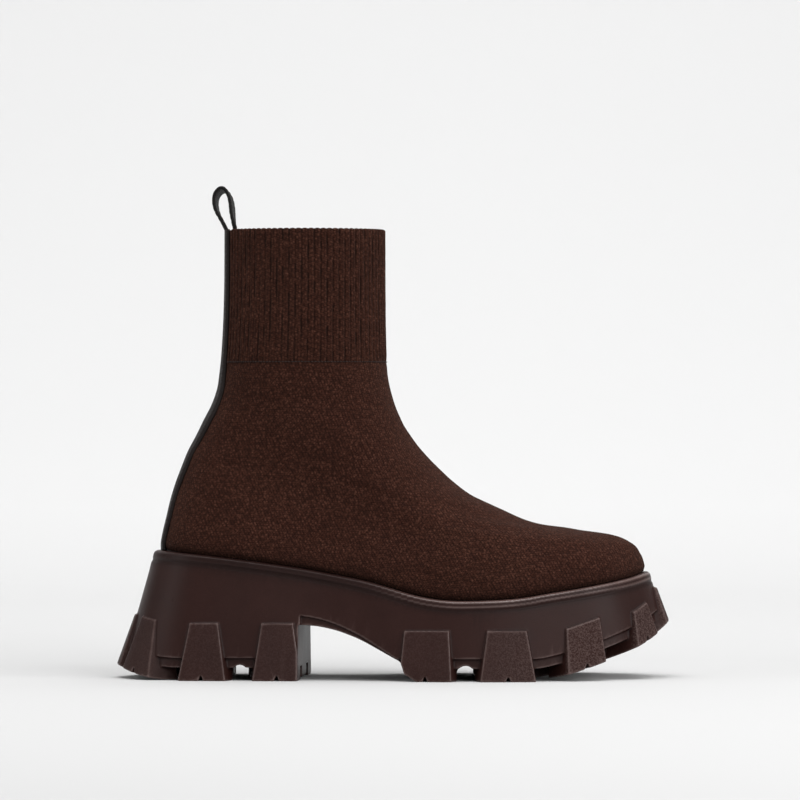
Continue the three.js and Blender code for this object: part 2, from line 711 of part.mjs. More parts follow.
// A small pointed notch under the middle of a lug, running inwards
function lugNotch(lug) {
  const edge = soleEdge(lug.turn);
  const foot = wallPointAbove(lug.turn, 0, lugProudFoot);
  const outline = new THREE.Shape([
    new THREE.Vector2(-notchWidth, -notchHeight),
    new THREE.Vector2(notchWidth, -notchHeight),
    new THREE.Vector2(0, notchHeight),
  ]);
  const notch = new THREE.ExtrudeGeometry(outline, { depth: notchDepth, bevelEnabled: false });
  const inward = edge.out.clone().negate();
  const side = new THREE.Vector3(-inward.y, inward.x, 0);
  const frame = new THREE.Matrix4().makeBasis(side, new THREE.Vector3(0, 0, 1), inward);
  frame.setPosition(foot.clone().addScaledVector(edge.out, lugBevel));
  notch.applyMatrix4(frame);
  return solidFrom(notch);
}

// A slab across the whole sole, between two places along it
function acrossSlab(from, to) {
  const high = heelRise;
  const slab = new THREE.BoxGeometry(to - from, 4 * ballHalfWidth, 2 * high);
  slab.translate((from + to) / 2, 0, 0);
  return solidFrom(slab);
}

// Middle tread pads, parted by the tunnels
function treadPads(tunnels) {
  const rings = [
    soleRing((turn) => wallPointAbove(turn, padShy, -padInset)),
    soleRing((turn) => wallPointAbove(turn, padHeight, -padInset)),
  ];
  let pads = solidFrom(stackRings(rings));
  tunnels.forEach(({ middle, width }) => {
    pads = pads.subtract(acrossSlab(middle - width / 2, middle + width / 2));
  });
  return pads;
}

// A tunnel with a round roof, open to the floor
function tunnelBore({ middle, width }) {
  const bore = new THREE.CylinderGeometry(width / 2, width / 2, 4 * ballHalfWidth, tunnelSides);
  bore.translate(middle, 0, tunnelRise - width / 2);
  const roof = solidFrom(bore);
  return wasm.Manifold.hull([roof, roof.translate(0, 0, -tunnelRise)]);
}

// The hollow of the arch, from the heel's breast to the tread, slanting forward to the inner side
function archHollow(lift, inset) {
  const from = heelLength + inset;
  const outline = [new THREE.Vector2(from, -heelRise), new THREE.Vector2(from, 0)];
  archTable.forEach((row) => {
    const x = row.at === 0 ? from : heelLength + row.at * archLength;
    outline.push(new THREE.Vector2(x, row.rise * archHeight + lift * Math.max(1 - row.at, 0)));
  });
  const last = archTable[archTable.length - 1];
  outline.push(new THREE.Vector2(heelLength + last.at * archLength, -heelRise));
  const hollow = new THREE.ExtrudeGeometry(new THREE.Shape(outline), {
    depth: 4 * ballHalfWidth,
    bevelEnabled: false,
  });
  // The outline's own axes turn to X and Z, and its depth to Y.
  hollow.rotateX(Math.PI / 2);
  hollow.translate(0, 2 * ballHalfWidth, 0);
  hollow.applyMatrix4(new THREE.Matrix4().makeShear(0, 0, breastSlant, 0, 0, 0));
  return solidFrom(hollow);
}

// Outer skin of the wall, for the lip along the arch
function wallSkin() {
  const deep = (proud, above) => soleRing((turn) => wallPointAbove(turn, above, proud));
  const high = archHeight + 2 * archLipHeight;
  const outside = solidFrom(stackRings([deep(2 * lugProudFoot, 0), deep(2 * lugProudFoot, high)]));
  const inside = solidFrom(stackRings([
    deep(-archLipInset, -cutOverrun),
    deep(-archLipInset, high + cutOverrun),
  ]));
  return outside.subtract(inside);
}

function makeSole() {
  const lugRows = placedLugs();
  const tunnels = [
    { middle: heelPlace(heelTunnel.at), width: heelTunnel.width },
    { middle: treadPlace(treadTunnel.at), width: treadTunnel.width },
  ];
  const blocks = wasm.Manifold.union(lugRows.map(lugBlock));
  const notches = wasm.Manifold.union(lugRows.map(lugNotch));
  const lugs = blocks.intersect(lugEnvelope()).subtract(notches);
  let sole = soleBody().add(lugs).add(treadPads(tunnels));
  tunnels.forEach((row) => {
    sole = sole.subtract(tunnelBore(row));
  });
  sole = sole.subtract(archHollow(0, 0));
  sole = sole.subtract(archHollow(archLipHeight, 1).intersect(wallSkin()));
  return geometryOf(sole);
}

// The boot
const knit = { color: 0x361d15, roughness: 0.95, metalness: 0 };
const rubber = { color: 0x3a2725, roughness: 0.5, metalness: 0 };
const leather = { color: 0x1c1614, roughness: 0.45, metalness: 0 };
const lining = { color: 0x2b1a14, roughness: 0.9, metalness: 0 };

function piece(name, geometry, finish) {
  const mesh = new THREE.Mesh(geometry, new THREE.MeshStandardMaterial(finish));
  mesh.name = name;
  return mesh;
}

const boot = new THREE.Group();
boot.add(piece('upper', makeUpper(), knit));
boot.add(piece('sole', makeSole(), rubber));
boot.add(piece('insole', makeInsole(), lining));
boot.add(piece('back_strip', makeBackStrip(), leather));
boot.add(piece('pull_loop', makePullLoop(), leather));

const footprint = new THREE.Box3().setFromObject(boot);
const middle = footprint.getCenter(new THREE.Vector3());
boot.position.set(-middle.x, -middle.y, -footprint.min.z);

export default boot;
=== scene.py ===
# Sock boot, right foot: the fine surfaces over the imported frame. Metres, heel towards -X.
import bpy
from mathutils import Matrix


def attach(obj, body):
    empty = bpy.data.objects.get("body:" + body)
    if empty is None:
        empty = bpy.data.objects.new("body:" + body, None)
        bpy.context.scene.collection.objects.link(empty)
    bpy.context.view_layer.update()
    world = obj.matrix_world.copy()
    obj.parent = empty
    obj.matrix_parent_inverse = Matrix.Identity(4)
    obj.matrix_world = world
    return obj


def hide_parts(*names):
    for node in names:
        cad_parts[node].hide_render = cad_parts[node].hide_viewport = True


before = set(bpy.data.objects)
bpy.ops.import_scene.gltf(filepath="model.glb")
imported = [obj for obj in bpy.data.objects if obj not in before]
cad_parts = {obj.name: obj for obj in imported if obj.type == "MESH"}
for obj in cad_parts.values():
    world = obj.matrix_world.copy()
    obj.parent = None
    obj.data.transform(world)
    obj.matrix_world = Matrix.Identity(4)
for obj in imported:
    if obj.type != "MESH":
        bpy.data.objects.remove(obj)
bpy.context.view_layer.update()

import math

import bpy
import numpy as np
from bpy.props import FloatProperty, FloatVectorProperty, IntProperty, PointerProperty
from mathutils import Matrix, Vector
from mathutils.kdtree import KDTree

bl_info = {
    "name": "Sock boot",
    "version": (1, 0, 0),
    "blender": (4, 5, 0),
    "location": "3D View > Sidebar > Boot",
    "description": "Knitted sock boot on a moulded lug sole",
    "category": "Object",
}

FULL_TURN = 2 * math.pi
RIB_PITCH = 0.00315  # of the cuff's pattern
HEEL_BACK = Vector((-0.122446, 0.001166, 0.0))  # back of the knit in the part's frame
BOX_FACES = [(3, 2, 1, 0), (4, 5, 6, 7), (0, 1, 5, 4), (1, 2, 6, 5), (2, 3, 7, 6), (3, 0, 4, 7)]
SOLE_FACES = 185000  # triangles kept of the moulded sole
BORE = 0.07  # half height of a cut right through the middle pads
SEAM_YARN = 0.00032  # radius of the yarn that links the cuff to the foot
SWELL = 0.00025  # unevenness of the knit, and its stand at the foot of the cuff
# Painted light on the sole: bulge at which an edge gets painted highlight, or a corner gets painted
# shade.
EDGE_START, EDGE_GAIN = 0.02, 14  # bulge at which an edge shows, and how fast it grows

# Cuff: height of its turned edge, first step above the seam, room beside the back strip, dip of
# the furrows at the collar, then sway, sharpness and unevenness of the ribs, and ribs inside.
CUFF_TURN = 0.0011
CUFF_STEP = 0.0012
STRIP_ROOM = 0.0012
FURROW_DIP = 0.00045
RIB_SWAY, RIB_SHARPNESS, RIB_UNEVEN, INNER_RIBS = 0.10, 0.75, 0.18, 0.35

# Sole: soft edge of the wall's step, and the middle pads' underside and top above the floor.
STEP_EDGE = 0.0004
PAD_LOW, PAD_HIGH = 0.001, 0.009

# Plan outline of the foot: share of the length, then both sides as shares of the ball's half.
PLAN = [
    (0, 0, 0), (0.02, 0.36, 0.35), (0.08, 0.615, 0.6), (0.2, 0.7, 0.67), (0.35, 0.76, 0.635),
    (0.5, 0.895, 0.7), (0.62, 1, 0.85), (0.72, 0.98, 0.945), (0.82, 0.84, 0.925),
    (0.91, 0.595, 0.775), (0.97, 0.265, 0.53), (1, -0.13, 0.13),
]

# Footbed from the side: share of the length, then shares of the heel's and the toe's rise.
SEAT = [
    (0, 1, 0), (0.115, 0.885, 0), (0.265, 0.685, 0), (0.36, 0.52, 0), (0.43, 0.375, 0),
    (0.52, 0.115, 0), (0.57, 0.025, 0), (0.62, 0, 0), (0.72, 0, 0.075), (0.8, 0, 0.285),
    (0.88, 0, 0.51), (0.96, 0, 0.79), (1, 0, 1),
]

# Rings of the knit: up, back_in, back_up, front_out, front_up, sink, heel, ball, shaft.
RINGS = [
    (0, 0, 0, 1, 0, 1, 1, 1, 0),
    (0.05, 0, 0.04, 0.996, 0.036, 0.98, 1.02, 1.02, 0),
    (0.12, 0.04, 0.11, 0.982, 0.081, 0.92, 1.01, 1.01, 0),
    (0.19, 0.09, 0.18, 0.948, 0.134, 0.8, 0.98, 0.97, 0.01),
    (0.26, 0.145, 0.26, 0.879, 0.173, 0.6, 0.94, 0.91, 0.03),
    (0.35, 0.225, 0.35, 0.738, 0.2, 0.35, 0.9, 0.85, 0.08),
    (0.44, 0.325, 0.44, 0.572, 0.233, 0.15, 0.86, 0.79, 0.18),
    (0.52, 0.42, 0.52, 0.441, 0.302, 0.05, 0.84, 0.75, 0.32),
    (0.6, 0.545, 0.6, 0.31, 0.385, 0, 0.82, 0.72, 0.48),
    (0.68, 0.66, 0.68, 0.206, 0.496, 0, 0.8, 0.7, 0.65),
    (0.77, 0.795, 0.77, 0.115, 0.623, 0, 0.8, 0.7, 0.82),
    (0.86, 0.885, 0.86, 0.053, 0.76, 0, 0.8, 0.7, 0.94),
    (0.94, 0.92, 0.94, 0.02, 0.89, 0, 0.8, 0.7, 1),
    (1, 0.94, 1, 0.006, 1, 0, 0.8, 0.7, 1),
]
RING_COLUMNS = ("up", "back_in", "back_up", "front_out", "front_up", "sink", "heel", "ball", "shaft")

# Side of the rim: drop below the footbed, run out at the sides, run out at heel and toe.
RIM = [
    (1, -0.13, -0.1), (0.9, -0.2, -0.2), (0.74, -0.19, -0.24), (0.62, -0.07, -0.22),
    (0.52, 0.01, -0.24), (0.42, -0.02, -0.27), (0.33, -0.05, -0.3), (0.22, 0.0, -0.33),
    (0.12, -0.06, -0.42), (0.04, -0.26, -0.56), (0, -0.5, -0.68),
]

# Lugs: place on the outer and the inner side, then foot and top width and height as shares.
HEEL_LUGS = [(0.055, 0.055, 0.79, 0.38, 0.935), (0.322, 0.336, 0.885, 0.51, 1),
             (0.822, 0.91, 0.92, 0.575, 1)]
TREAD_LUGS = [(0.075, 0.118, 0.985, 0.805, 0.885), (0.399, 0.457, 1.03, 0.71, 0.885),
              (0.704, 0.743, 0.79, 0.66, 0.785), (0.926, 0.919, 0.655, 0.425, 0.58)]
BACK_LUG = (0.82, 0.49, 0.85)
TIP_LUG = (0.655, 0.425, 0.575)

# Round tunnels across: share of the heel's and of the tread's length, and width.
HEEL_TUNNEL = (0.553, 0.008)
TREAD_TUNNEL = (0.2305, 0.0095)

# Grooves under the middle pads: place along the boot, half length, height above the floor.
PAD_GROOVES = [(0.012, 0.006, 0.0035), (0.024, 0.006, 0.0035), (0.055, 0.006, 0.0035),
               (0.064, 0.006, 0.0035), (0.142, 0.012, 0.0035), (0.178, 0.015, 0.0035),
               (0.192, 0.013, 0.0035), (0.206, 0.008, 0.0045)]
GROOVE_WIDTH = 0.0032
GROOVE_SLANT = 0.35

# Painted marks of the rim, highlight on its ridges and shade in its grooves: drop as a share of its
# height, spread, strength.
RIM_RIDGE_HIGHLIGHTS = [(0.12, 0.12, 1.0), (0.54, 0.09, 0.8)]
RIM_GROOVE_SHADES = [(0.34, 0.07, 0.7), (0.95, 0.2, 1.0)]
RIM_ZONE = 1.2  # drop that the marks reach down to

# Underside of the arch: share of the way from the breast to the tread, share of its height.
ARCH = [(0, 1), (0.2, 0.97), (0.38, 0.89), (0.58, 0.745), (0.74, 0.58), (0.9, 0.41),
        (0.97, 0.34), (1, 0.14), (1.12, 0)]

# Middle line of the pull loop above the collar, as shares of its spread and height.
LOOP = [(-0.47, 0.2), (-0.72, 0.42), (-0.83, 0.64), (-0.76, 0.83), (-0.5, 0.955),
        (-0.22, 0.945), (0, 0.8), (0.12, 0.59), (0.16, 0.34), (0.2, 0.14)]

# Edge of the insole board: height above its underside, drawn in.
BOARD_EDGE = [(0.0, 0.0004), (0.0003, 0.0), (0.0014, 0.0), (0.0019, 0.0004), (0.0021, 0.0014),
              (0.0022, 0.006)]

# Half of the back strip across: share of its half width, share of its thickness taken off.
STRIP_EDGE = [(1, 0.55), (0.985, 0.25), (0.95, 0.08), (0.9, 0.02), (0.8, 0.1), (0.55, 0.03),
              (0.25, 0), (0, 0)]

# Softboxes: name, its setting, place, point that it faces, width and height.
SOFTBOXES = [
    ("top_softbox", "top_power", (0.1, -0.3, 1.7), (0, 0, 0.05), 1.6, 1.3),
    ("front_softbox", "front_power", (0.9, -1.9, 0.9), (0.1, 0, 0.05), 1.0, 0.9),
    ("back_softbox", "back_power", (0, 0.9, 2.6), (0, 1.9, 0.1), 3.0, 0.8),
    ("heel_softbox", "side_power", (-1.6, -0.5, 0.6), (-0.1, 0, 0.1), 0.7, 1.1),
    ("toe_softbox", "toe_power", (1.7, -0.9, 0.7), (0.1, 0, 0.05), 0.7, 1.1),
]

# Soft creases of the knit: turn and share up of the middle, half lengths round and up, tilt
# as share up for each turn, depth in metres (a ridge is negative).
CREASES = [
    (1.75, 0.50, 0.42, 0.034, -0.10, 0.0006),
    (4.55, 0.50, 0.42, 0.034, 0.10, 0.0006),
    (1.30, 0.62, 0.40, 0.036, -0.06, 0.0005),
    (5.00, 0.62, 0.40, 0.036, 0.06, 0.0005),
    (2.15, 0.36, 0.40, 0.034, -0.05, 0.0005),
    (4.15, 0.36, 0.40, 0.034, 0.05, 0.0005),
    (0.80, 0.50, 0.30, 0.040, 0.10, 0.0005),
    (5.45, 0.51, 0.30, 0.040, -0.10, 0.0005),
    (1.60, 0.86, 0.70, 0.034, 0.03, 0.0004),
    (4.70, 0.84, 0.70, 0.034, -0.03, 0.0004),
]


def length(name, text, default, **more):
    return FloatProperty(name=name, description=text, default=default, unit="LENGTH",
                         subtype="DISTANCE", precision=5, **more)


def number(name, text, default):
    return FloatProperty(name=name, description=text, default=default)


def colour(name, text, default):
    return FloatVectorProperty(name=name, description=text, default=default, subtype="COLOR",
                               size=3, min=0.0, max=1.0)


class FootSizes(bpy.types.PropertyGroup):
    """Outside of the knitted upper"""
    foot_length: length("Foot length", "Knit from heel to toe", 0.2573)
    ball_half_width: length("Ball half width", "Boot's line to the little toe joint", 0.047)
    heel_rise: length("Heel rise", "Footbed above the floor at the heel", 0.068)
    ball_rise: length("Ball rise", "Footbed above the floor at the ball", 0.0423)
    toe_rise: length("Toe rise", "Footbed above the floor at the toe", 0.0565)
    ankle_set: length("Ankle set", "Back of the shaft ahead of the heel", 0.034)
    shaft_depth: length("Shaft depth", "Shaft from back to front", 0.0836)
    shaft_width: length("Shaft width", "Shaft from side to side", 0.073)
    seam_height: length("Seam height", "Foot of the ribbed cuff", 0.168)
    collar_height: length("Collar height", "Top of the cuff", 0.239)
    wall: length("Knit wall", "Knit and lining together", 0.002)
    tuck: length("Tuck", "Knit drawn in at the sole's rim", 0.0009)
    gap: length("Gap", "Between pieces that touch", 0.0003)
    # Painted shade: how far above the sole the knit is darkened, in place of the sole's contact
    # shadow on it.
    painted_shade_height: length("Shade height", "Darker knit above the sole", 0.0045)


class KnitSizes(bpy.types.PropertyGroup):
    """Ribs and stitches"""
    ribs: IntProperty(name="Ribs", description="Ribs round the cuff", default=78, min=12)
    rib_depth: length("Rib depth", "Ridge above furrow", 0.0006)
    wale: length("Wale", "Width of a stitch", 0.0015)
    course: length("Course", "Height of a stitch", 0.0012)
    stitch_relief: length("Stitch relief", "Height of the yarn's relief", 0.0005)
    yarn: colour("Yarn", "Brown of the knit", (0.0285, 0.0086, 0.0050))
    # Lighter yarn of the specks and raised loops: partly the yarn's own tone, partly painted
    # highlight on the raised yarn.
    yarn_light: colour("Yarn light", "Brown of the raised loops", (0.0940, 0.0385, 0.0257))
    # Dark of the yarn, used also as painted shade in the gaps, in the rib furrows and just above the
    # sole.
    yarn_dark_and_shade: colour("Yarn shade", "Brown between the stitches", (0.0080, 0.0030, 0.0021))
    lining: colour("Lining", "Inside of the sock", (0.05, 0.02, 0.013))


class TrimSizes(bpy.types.PropertyGroup):
    """Back strip and pull loop"""
    strip_top: length("Strip at the top", "Width at the collar", 0.019)
    strip_ankle: length("Strip at the ankle", "Width at the ankle", 0.025)
    strip_foot: length("Strip at the foot", "Width at the sole", 0.018)
    strip_thickness: length("Strip thickness", "Leather and its turned edge", 0.0015)
    tape_thickness: length("Tape thickness", "Pull loop's tape", 0.0016)
    tape_width: length("Tape width", "Pull loop's tape", 0.014)
    loop_height: length("Loop height", "Above the collar", 0.022)
    loop_spread: length("Loop spread", "Across the eye", 0.0092)
    leg_length: length("Leg length", "Sewn down inside the collar", 0.013)
    yaw: number("Yaw", "Turn of the slack tape, as a tangent", 0.12)
    roll: number("Roll", "Roll of the slack tape, as a tangent", 0.15)
    stitch_length: length("Stitch length", "Seen thread of one stitch", 0.0023)
    stitch_pitch: length("Stitch pitch", "One stitch to the next", 0.0031)
    thread: length("Thread", "Radius of the thread", 0.00022)
    leather: colour("Loop leather", "Near black of the pull loop", (0.0046, 0.0036, 0.0034))
    # Partly painted sheen: the strip's dark brown leather is set lighter than the loop's, standing in
    # for its sheen where it is lit.
    strip_leather_and_sheen: colour("Strip leather", "Dark brown of the back strip", (0.0095, 0.0060, 0.0053))
    thread_colour: colour("Thread colour", "Dark thread", (0.018, 0.0105, 0.009))


class SoleSizes(bpy.types.PropertyGroup):
    """Moulded sole"""
    rim_side: length("Rim at the sides", "Outside the knit", 0.004)
    rim_heel: length("Rim at the heel", "Outside the knit", 0.0074)
    rim_toe: length("Rim at the toe", "Outside the knit", 0.0046)
    rim_height: length("Rim height", "Bead and groove together", 0.0062)
    flare_side: number("Side flare", "Run out for each height", 0.1)
    flare_end: number("End flare", "Run out for each height", 0.28)
    step_height: length("Step height", "Above the tread's underside", 0.012)
    step_inset: length("Step inset", "Wall set back below the step", 0.0022)
    groove: length("Groove", "Between the lugs, above the floor", 0.0068)
    heel_flat: length("Heel flat", "Where the heel comes down flat", 0.009)
    heel_bevel_rise: length("Heel bevel rise", "Back of the heel off the floor", 0.007)
    heel_bevel_length: length("Heel bevel length", "Length of the bevel", 0.033)
    spring_length: length("Spring length", "Sprung toe", 0.0639)
    spring_rise: length("Spring rise", "Rise of the sprung toe", 0.0208)
    tip_lift: length("Tip lift", "Extra rise at the tip", 0.0024)
    heel_length: length("Heel length", "Back of the knit to the breast", 0.075)
    arch_length: length("Arch length", "Breast to front tread", 0.0565)
    arch_height: length("Arch height", "Arch above the floor", 0.0295)
    breast_slant: number("Breast slant", "Forward for each width", 0.07)
    lip_height: length("Lip height", "Lip along the arch", 0.005)
    lip_inset: length("Lip inset", "Lip's step in the wall", 0.0014)
    heel_lug: number("Heel lug", "Widest heel lug, of the heel's length", 0.4067)
    tread_lug: number("Tread lug", "Widest tread lug, of the tread's length", 0.2424)
    lug_height: length("Lug height", "Tallest lug", 0.0305)
    lug_top: length("Lug top", "Proud of the wall at the top", 0.0009)
    lug_foot: length("Lug foot", "Proud of the wall at the floor", 0.0033)
    lug_reach: length("Lug reach", "Inward from the wall", 0.02)
    lug_bevel: length("Lug bevel", "Bevelled flanks", 0.0016)
    notch_width: length("Notch width", "Half width under a lug", 0.0028)
    notch_height: length("Notch height", "Height under a lug", 0.0034)
    notch_depth: length("Notch depth", "Inward under a lug", 0.012)
    pad_inset: length("Pad inset", "Middle pads inside the edge", 0.027)
    tunnel_rise: length("Tunnel rise", "Top of a tunnel", 0.0083)
    rounding: length("Rounding", "Softness of the moulded edges", 0.0005, min=0.0004)
    rubber: colour("Rubber", "Brown of the sole", (0.0212, 0.0078, 0.0063))
    # Lighter rubber of the grained lug faces, used also as painted highlight on the edges and the
    # rim's ridges.
    rubber_grain_and_highlight: colour("Rubber, worn", "Edges and grained faces", (0.0760, 0.0480, 0.0430))


class StageSettings(bpy.types.PropertyGroup):
    """Camera, lights and backdrop"""
    camera_distance: length("Camera distance", "In front of the boot", 3.0)
    camera_height: length("Camera height", "Above the floor", 0.148)
    camera_side: length("Camera side", "Along the boot", 0.003554)
    frame_width: length("Frame width", "Seen at the boot", 0.4272)
    sky: number("Studio light", "Even light of the room", 0.365)
    floor_tone: number("Floor tone", "Paper under the boot", 0.545)
    wall_tone: number("Wall tone", "Paper behind the boot", 0.82)
    top_power: number("Top light", "Softbox above, watts", 28.0)
    back_power: number("Back light", "Softbox on the backdrop, watts", 24.0)
    front_power: number("Front light", "Softbox ahead of the toe, watts", 15.0)
    side_power: number("Side light", "Softbox at the heel, watts", 6.0)
    toe_power: number("Toe light", "Softbox past the toe, watts", 14.0)


class BootSettings(bpy.types.PropertyGroup):
    """Everything about the boot that can be set"""
    foot: PointerProperty(type=FootSizes)
    knit: PointerProperty(type=KnitSizes)
    trim: PointerProperty(type=TrimSizes)
    sole: PointerProperty(type=SoleSizes)
    stage: PointerProperty(type=StageSettings)


def settings():
    return bpy.context.scene.sock_boot


# ---- The boot's own form

def through(keys, values, key):
    """Smooth curve through the rows of a table, by cubic pieces between neighbours."""
    keys = np.asarray(keys, float)
    values = np.asarray(values, float)
    key = np.asarray(key, float)
    high = np.clip(np.searchsorted(keys, key, side="left"), 1, len(keys) - 1)
    low = high - 1
    before = np.maximum(high - 2, 0)
    after = np.minimum(high + 1, len(keys) - 1)
    span = keys[high] - keys[low]
    slope_low = (values[high] - values[before]) / (keys[high] - keys[before])
    slope_high = (values[after] - values[low]) / (keys[after] - keys[low])
    s = (key - keys[low]) / span
    rise = s * s * (3 - 2 * s)
    bend = span * s * (1 - s) * ((1 - s) * slope_low - s * slope_high)
    return values[low] * (1 - rise) + values[high] * rise + bend


def smoothstep(value, low, high):
    s = np.clip((np.asarray(value, float) - low) / (high - low), 0, 1)
    return s * s * (3 - 2 * s)


def mix(a, b, share):
    return a + (b - a) * share


def plan_round():
    """The plan outline as one closed round of turns and sideways shares."""
    outer = [(math.acos(1 - 2 * at), -side) for at, side, _ in PLAN]
    inner = [(FULL_TURN - math.acos(1 - 2 * at), side) for at, _, side in PLAN][::-1]
    rows = [(inner[-2][0] - FULL_TURN, inner[-2][1])] + outer + inner[1:]
    rows.append((outer[1][0] + FULL_TURN, outer[1][1]))
    return zip(*rows)


PLAN_TURNS, PLAN_SIDES = plan_round()


def along_of(turn):
    return (1 - np.cos(turn)) / 2


def round_turns(count):
    return np.linspace(0, FULL_TURN, count + 1)[:-1]


def seat_height(x):
    foot = settings().foot
    at = np.clip(np.asarray(x, float) / foot.foot_length, 0, 1)
    keys, heels, toes = zip(*SEAT)
    heel, toe = through(keys, heels, at), through(keys, toes, at)
    return (foot.ball_rise + heel * (foot.heel_rise - foot.ball_rise)
            + toe * (foot.toe_rise - foot.ball_rise))


def form_point(turn, up):
    """Outside of the plain knit at a turn round the foot and a share up, shape (..., 3)."""
    foot = settings().foot
    turn, up = np.broadcast_arrays(np.asarray(turn, float), np.asarray(up, float))
    columns = list(zip(*RINGS))
    column = {name: through(columns[0], values, np.minimum(up, 1))
              for name, values in zip(RING_COLUMNS, columns)}
    shaft_front = foot.ankle_set + foot.shaft_depth
    cuff = np.maximum(up - 1, 0)
    upright = 1 - (1 - np.minimum(cuff, 1)) ** 3
    cuff_rise = cuff * (foot.collar_height - foot.seam_height)
    back_x = mix(column["back_in"] * foot.ankle_set, foot.ankle_set, upright)
    front_x = shaft_front + column["front_out"] * (foot.foot_length - shaft_front)
    front_x = mix(front_x, shaft_front, upright)
    back_z = foot.heel_rise + column["back_up"] * (foot.seam_height - foot.heel_rise) + cuff_rise
    front_z = foot.toe_rise + column["front_up"] * (foot.seam_height - foot.toe_rise) + cuff_rise
    along = along_of(turn)
    sag = seat_height(along * foot.foot_length) - mix(foot.heel_rise, foot.toe_rise, along)
    spread = mix(column["heel"], column["ball"], smoothstep(along, 0.1, 0.6))
    side = through(PLAN_TURNS, PLAN_SIDES, np.mod(turn, FULL_TURN)) * foot.ball_half_width
    shaft_side = -np.sin(turn) * foot.shaft_width / 2
    y = mix(side * spread, shaft_side, column["shaft"])
    z = mix(back_z, front_z, along) + sag * column["sink"]
    return np.stack([mix(back_x, front_x, along), y, z], axis=-1)


def unit(vectors):
    return vectors / np.linalg.norm(vectors, axis=-1, keepdims=True)


def form_normal(turn, up):
    step = 0.01
    round_way = form_point(turn + step, up) - form_point(turn - step, up)
    up_way = form_point(turn, up + step) - form_point(turn, np.maximum(up - step, 0))
    normal = np.cross(round_way, up_way)
    level = (np.asarray(up) <= 0) | (np.asarray(up) >= 1)
    normal[..., 2] = np.where(np.broadcast_to(level, normal.shape[:-1]), 0, normal[..., 2])
    return unit(normal)


def grown(turn, up, offset):
    """The form grown by an offset, with its lowest ring on the footbed."""
    turn, up, offset = np.broadcast_arrays(turn, up, offset)
    point = form_point(turn, up) + form_normal(turn, up) * offset[..., None]
    on_seat = seat_height(point[..., 0]) + settings().foot.gap
    point[..., 2] = np.where(up <= 0, on_seat, point[..., 2])
    return point


def wander(a, b, seed):
    """Slow uneven wave between -1 and 1 for hand-made irregularity."""
    total = 0.0
    for k in range(1, 5):
        across, up = a * (1.3 * k + 0.37 * seed), b * (2.1 * k - 0.53 * seed)
        total = total + np.sin(across + up + seed * k * 1.7) / k
    return total / 2.1


def crease_depth(turn, up):
    depth = 0.0
    for middle, high, half_round, half_up, tilt, deep in CREASES:
        round_share = (turn - middle) / half_round
        up_share = (up - high - tilt * (turn - middle)) / half_up
        trough = np.exp(-2.2 * up_share ** 2)
        shoulder = 0.45 * np.exp(-2.2 * (up_share - 1.7) ** 2)
        depth = depth + deep * np.exp(-2.0 * round_share ** 2) * (trough - shoulder)
    return depth


# ---- Mesh helpers

def quads_between(rows, columns, closed_round=True, closed_up=False):
    """Quads of a grid of rows of points, facing out when the rows follow one another upwards."""
    faces = []
    for i in range(rows if closed_up else rows - 1):
        low = i * columns
        high = ((i + 1) % rows) * columns
        for j in range(columns if closed_round else columns - 1):
            k = (j + 1) % columns
            faces.append((low + j, low + k, high + k, high + j))
    return faces


def tube_faces(rows, columns, first=0):
    """Quads round a tube and a face over each of its ends."""
    faces = quads_between(rows, columns)
    faces += [tuple(range(columns))[::-1], tuple(range((rows - 1) * columns, rows * columns))]
    return [tuple(first + index for index in face) for face in faces]


def ladder(first, count, down):
    """Quads across a ring of points, from its start to the point half way round."""
    faces = []
    half = count // 2
    for j in range(half):
        a, b = first + j, first + j + 1
        c, d = first + (count - j - 1) % count, first + (count - j) % count
        face = [a, b, c, d]
        if j == 0:
            face = [a, b, c]
        if j == half - 1:
            face = [a, b, d]
        faces.append(tuple(face[::-1] if down else face))
    return faces


def add_mesh(name, points, faces, uv=None):
    mesh = bpy.data.meshes.new(name)
    mesh.from_pydata([tuple(point) for point in points], [], faces)
    mesh.polygons.foreach_set("use_smooth", [True] * len(mesh.polygons))
    if uv is not None:
        layer = mesh.uv_layers.new(name="pattern")
        layer.data.foreach_set("uv", np.asarray(uv, np.float32).ravel())
    mesh.update()
    piece = bpy.data.objects.new(name, mesh)
    bpy.context.scene.collection.objects.link(piece)
    return piece


def loft(name, rings):
    """Closed mesh through rings that follow one another upwards."""
    count = len(rings[0])
    faces = quads_between(len(rings), count)
    faces += ladder(0, count, True) + ladder(count * (len(rings) - 1), count, False)
    return add_mesh(name, np.concatenate(rings), faces)


def read(items, name, width=1, kind=np.float32):
    """Values of all items, in rows where each item has more than one."""
    values = np.zeros(len(items) * width, kind)
    items.foreach_get(name, values)
    return values.reshape(-1, width) if width > 1 else values


def note(mesh, name, values):
    """Keep a number for each vertex, which the materials read by its name."""
    layer = mesh.attributes.get(name) or mesh.attributes.new(name, "FLOAT", "POINT")
    layer.data.foreach_set("value", values.astype(np.float32))


def in_frame(points):
    return np.asarray(points, float).reshape(-1, 3) + np.array(HEEL_BACK)


def seat_piece(piece, node, slot, *materials):
    """Hand the piece its materials and body, and hide the node that it stands in for. The slot is not
    used.
    """
    for material in materials:
        piece.data.materials.append(material)
    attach(piece, "root")
    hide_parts(node)
    return piece


def place_piece(name, points, faces, node, slot, *materials, uv=None):
    """Add a mesh in the part's frame and seat it."""
    return seat_piece(add_mesh(name, in_frame(points), faces, uv), node, slot, *materials)


def shaped(piece):
    """Replace a piece's mesh by what its modifiers make of it."""
    graph = bpy.context.evaluated_depsgraph_get()
    mesh = bpy.data.meshes.new_from_object(piece.evaluated_get(graph))
    old = piece.data
    piece.modifiers.clear()
    piece.data = mesh
    bpy.data.meshes.remove(old)
    return piece


